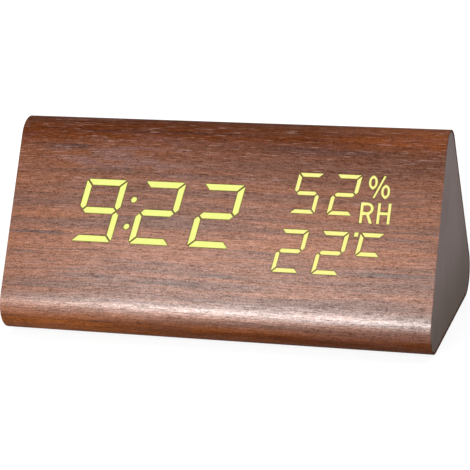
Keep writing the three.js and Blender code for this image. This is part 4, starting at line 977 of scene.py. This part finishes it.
def coil_points(length, way, turns=3.5, wide=3.7, narrow=2.2, wire=0.275, steps=150, sides=10):
    """A conical coil about X that narrows the given way, 1 or -1: a circle of radius wire carried
    along the line (x, r cos a, r sin a), where x, r and a go evenly from end to end. The ends
    shrink to a point."""
    share = np.linspace(0, 1, steps)
    angle = share * turns * 2 * np.pi
    start = way * (wire - length / 2)
    radius = wide - (wide - narrow) * share - wire
    x = start + way * (length - 2 * wire) * share
    line = np.column_stack([x, radius * np.cos(angle), radius * np.sin(angle)])
    ahead = np.gradient(line, axis=0)
    ahead /= np.linalg.norm(ahead, axis=1, keepdims=True)
    side = np.cross([1.0, 0, 0], ahead)
    side /= np.linalg.norm(side, axis=1, keepdims=True)
    up = np.cross(ahead, side)
    ring = (np.arange(sides) * 2 * np.pi / sides)[None, :, None]
    tube = line[:, None] + wire * (np.cos(ring) * side[:, None] + np.sin(ring) * up[:, None])
    ends = [np.repeat(line[k][None, None], sides, axis=1) for k in (0, -1)]
    return np.concatenate([ends[0], tube, ends[1]])


sleeve = cell_finish()
for number in (1, 2, 3):
    low, high = base.reach(f"battery_{number}")
    contact_low = base.reach(f"battery_contact_{number}")[0]
    way = 1 if contact_low[0] > 0 else -1
    middle, half = (low + high) / 2, (high[0] - low[0]) / 2
    profile = cell_profile((high[1] - low[1]) / 2, half)
    along = (profile[:, 1] + half) / (2 * half)
    profile[:, 1] *= way
    points = turned_points(base, middle, profile, sideways=True)
    grid_piece(f"cell_{number}", points, sleeve, f"battery_{number}", along=along)

    # The flat contact is at the cell's button, and the spring at its foot
    low, high = base.reach(f"battery_spring_{number}")
    centre = np.array([(low[0] + high[0]) / 2, middle[1], middle[2]])
    points = base.place(coil_points(high[0] - low[0], way) + centre)
    grid_piece(f"cell_spring_{number}", points, nickel, f"battery_spring_{number}")
    nickel.on(nodes[f"battery_contact_{number}"])


# ---- The screws
# Pan-head self-tapping screws of zinc-plated steel with a cross recess. They hold the display
# board, the control panel, its board and the battery tray.


def screw_points(face, node, outwards, columns=72):
    """Rows from the middle of the head, over its dome, under it and down the thread to the point.

    The dome is at top - 0.25 (r / R)^2, less a smooth cross-shaped recess. The thread multiplies
    the shank's radius by a triangle wave of height and angle, and its last fifth tapers.
    """
    head_height, dome, recess_depth, bar_width, bar_length = 1.0, 0.25, 0.5, 0.54, 2.3
    shank, thread_pitch = 0.95, 0.8
    low, high = face.reach(node)
    x, y = (low[0] + high[0]) / 2, (low[1] + high[1]) / 2
    head = (high[0] - low[0]) / 2
    top, tip = (high[2], low[2]) if outwards else (-low[2], -high[2])
    angle = np.arange(columns) * 2 * np.pi / columns
    cosine, sine = np.cos(angle), np.sin(angle)

    def bar(across, along):
        """Is 1 in one bar of the cross and falls to 0 at its rim."""
        within = np.clip((bar_width / 2 - np.abs(across)) / 0.06, 0, 1)
        return within * np.clip((bar_length / 2 - np.abs(along)) / 0.1, 0, 1)

    rows = []
    for r in np.linspace(0, head - 0.25, 26):
        px, py = r * cosine, r * sine
        recess = np.maximum(bar(px, py), bar(py, px))
        rows.append((px, py, top - dome * (r / head) ** 2 - recess_depth * recess))
    under = top - head_height
    for r, z in ((head - 0.08, top - 0.33), (head, top - 0.5), (head, under), (shank, under)):
        rows.append((r * cosine, r * sine, np.full(columns, z)))
    for share in np.linspace(0.02, 1, 44):
        down = share * (under - tip)
        wave = (angle / (2 * np.pi) - down / thread_pitch) % 1
        taper = np.clip((1 - share) / 0.2, 0.08, 1)
        r = shank * (0.78 + 0.22 * np.abs(2 * wave - 1)) * taper
        rows.append((r * cosine, r * sine, np.full(columns, under - down)))
    rows.append((0 * angle, 0 * angle, np.full(columns, tip)))
    points = np.stack([np.column_stack(row) for row in rows])
    points[..., 2] *= 1 if outwards else -1
    return face.place(points + np.array([x, y, 0]))


screws = [(front, f"board_screw_{k}", False) for k in (1, 2, 3, 4)]
screws += [(rear, f"panel_screw_{k}", True) for k in (1, 2, 3, 4)]
screws += [(rear, f"control_board_screw_{k}", False) for k in (1, 2)]
screws += [(base, f"tray_screw_{k}", True) for k in (1, 2)]
for face, node, outwards in screws:
    points = screw_points(face, node, outwards)
    grid_piece(node.replace("screw", "pan_screw"), points, steel, node)


# ---- The cables
# Two leads with soft vinyl insulation run from the battery tray to the display board, and a grey
# ribbon cable joins the two boards.


def sheath_finish(name, dark, light, wire_pitch=None):
    """Soft vinyl insulation with faint dirt; a ribbon also has a fine groove between its wires,
    darkened with painted shade.
    """
    vinyl = Finish(name)
    place = vinyl.place()
    dirt = vinyl.noise(place, (3, 3, 3), 3.0, 0.6)
    colour = vinyl.blend(dirt.step(0.35, 0.75), light, dark)
    relief = dirt
    if wire_pitch:
        wires = (place.part(0) / wire_pitch).math("FRACT")
        shaded_groove = 1 - wires.step(0.0, 0.2) + wires.step(0.8, 1.0)
        # Painted shade: the grooves between the wires are darkened
        colour = vinyl.blend(shaded_groove * 0.5, colour, dark)
        relief = 1 - shaded_groove
    return vinyl.feed(
        Base_Color=colour,
        Roughness=0.45 + (dirt - 0.5) * 0.2,
        Normal=vinyl.bump(relief, 0.00003),
    )


red_lead = sheath_finish("lead_red", paint(138, 22, 22), paint(178, 34, 32))
black_lead = sheath_finish("lead_black", paint(16, 16, 17), paint(28, 28, 30))
ribbon = sheath_finish("ribbon_grey", paint(126, 126, 128), paint(158, 158, 160), wire_pitch=1.0)
red_lead.on(nodes["positive_lead"])
black_lead.on(nodes["negative_lead"])
ribbon.on(nodes["ribbon_cable"])
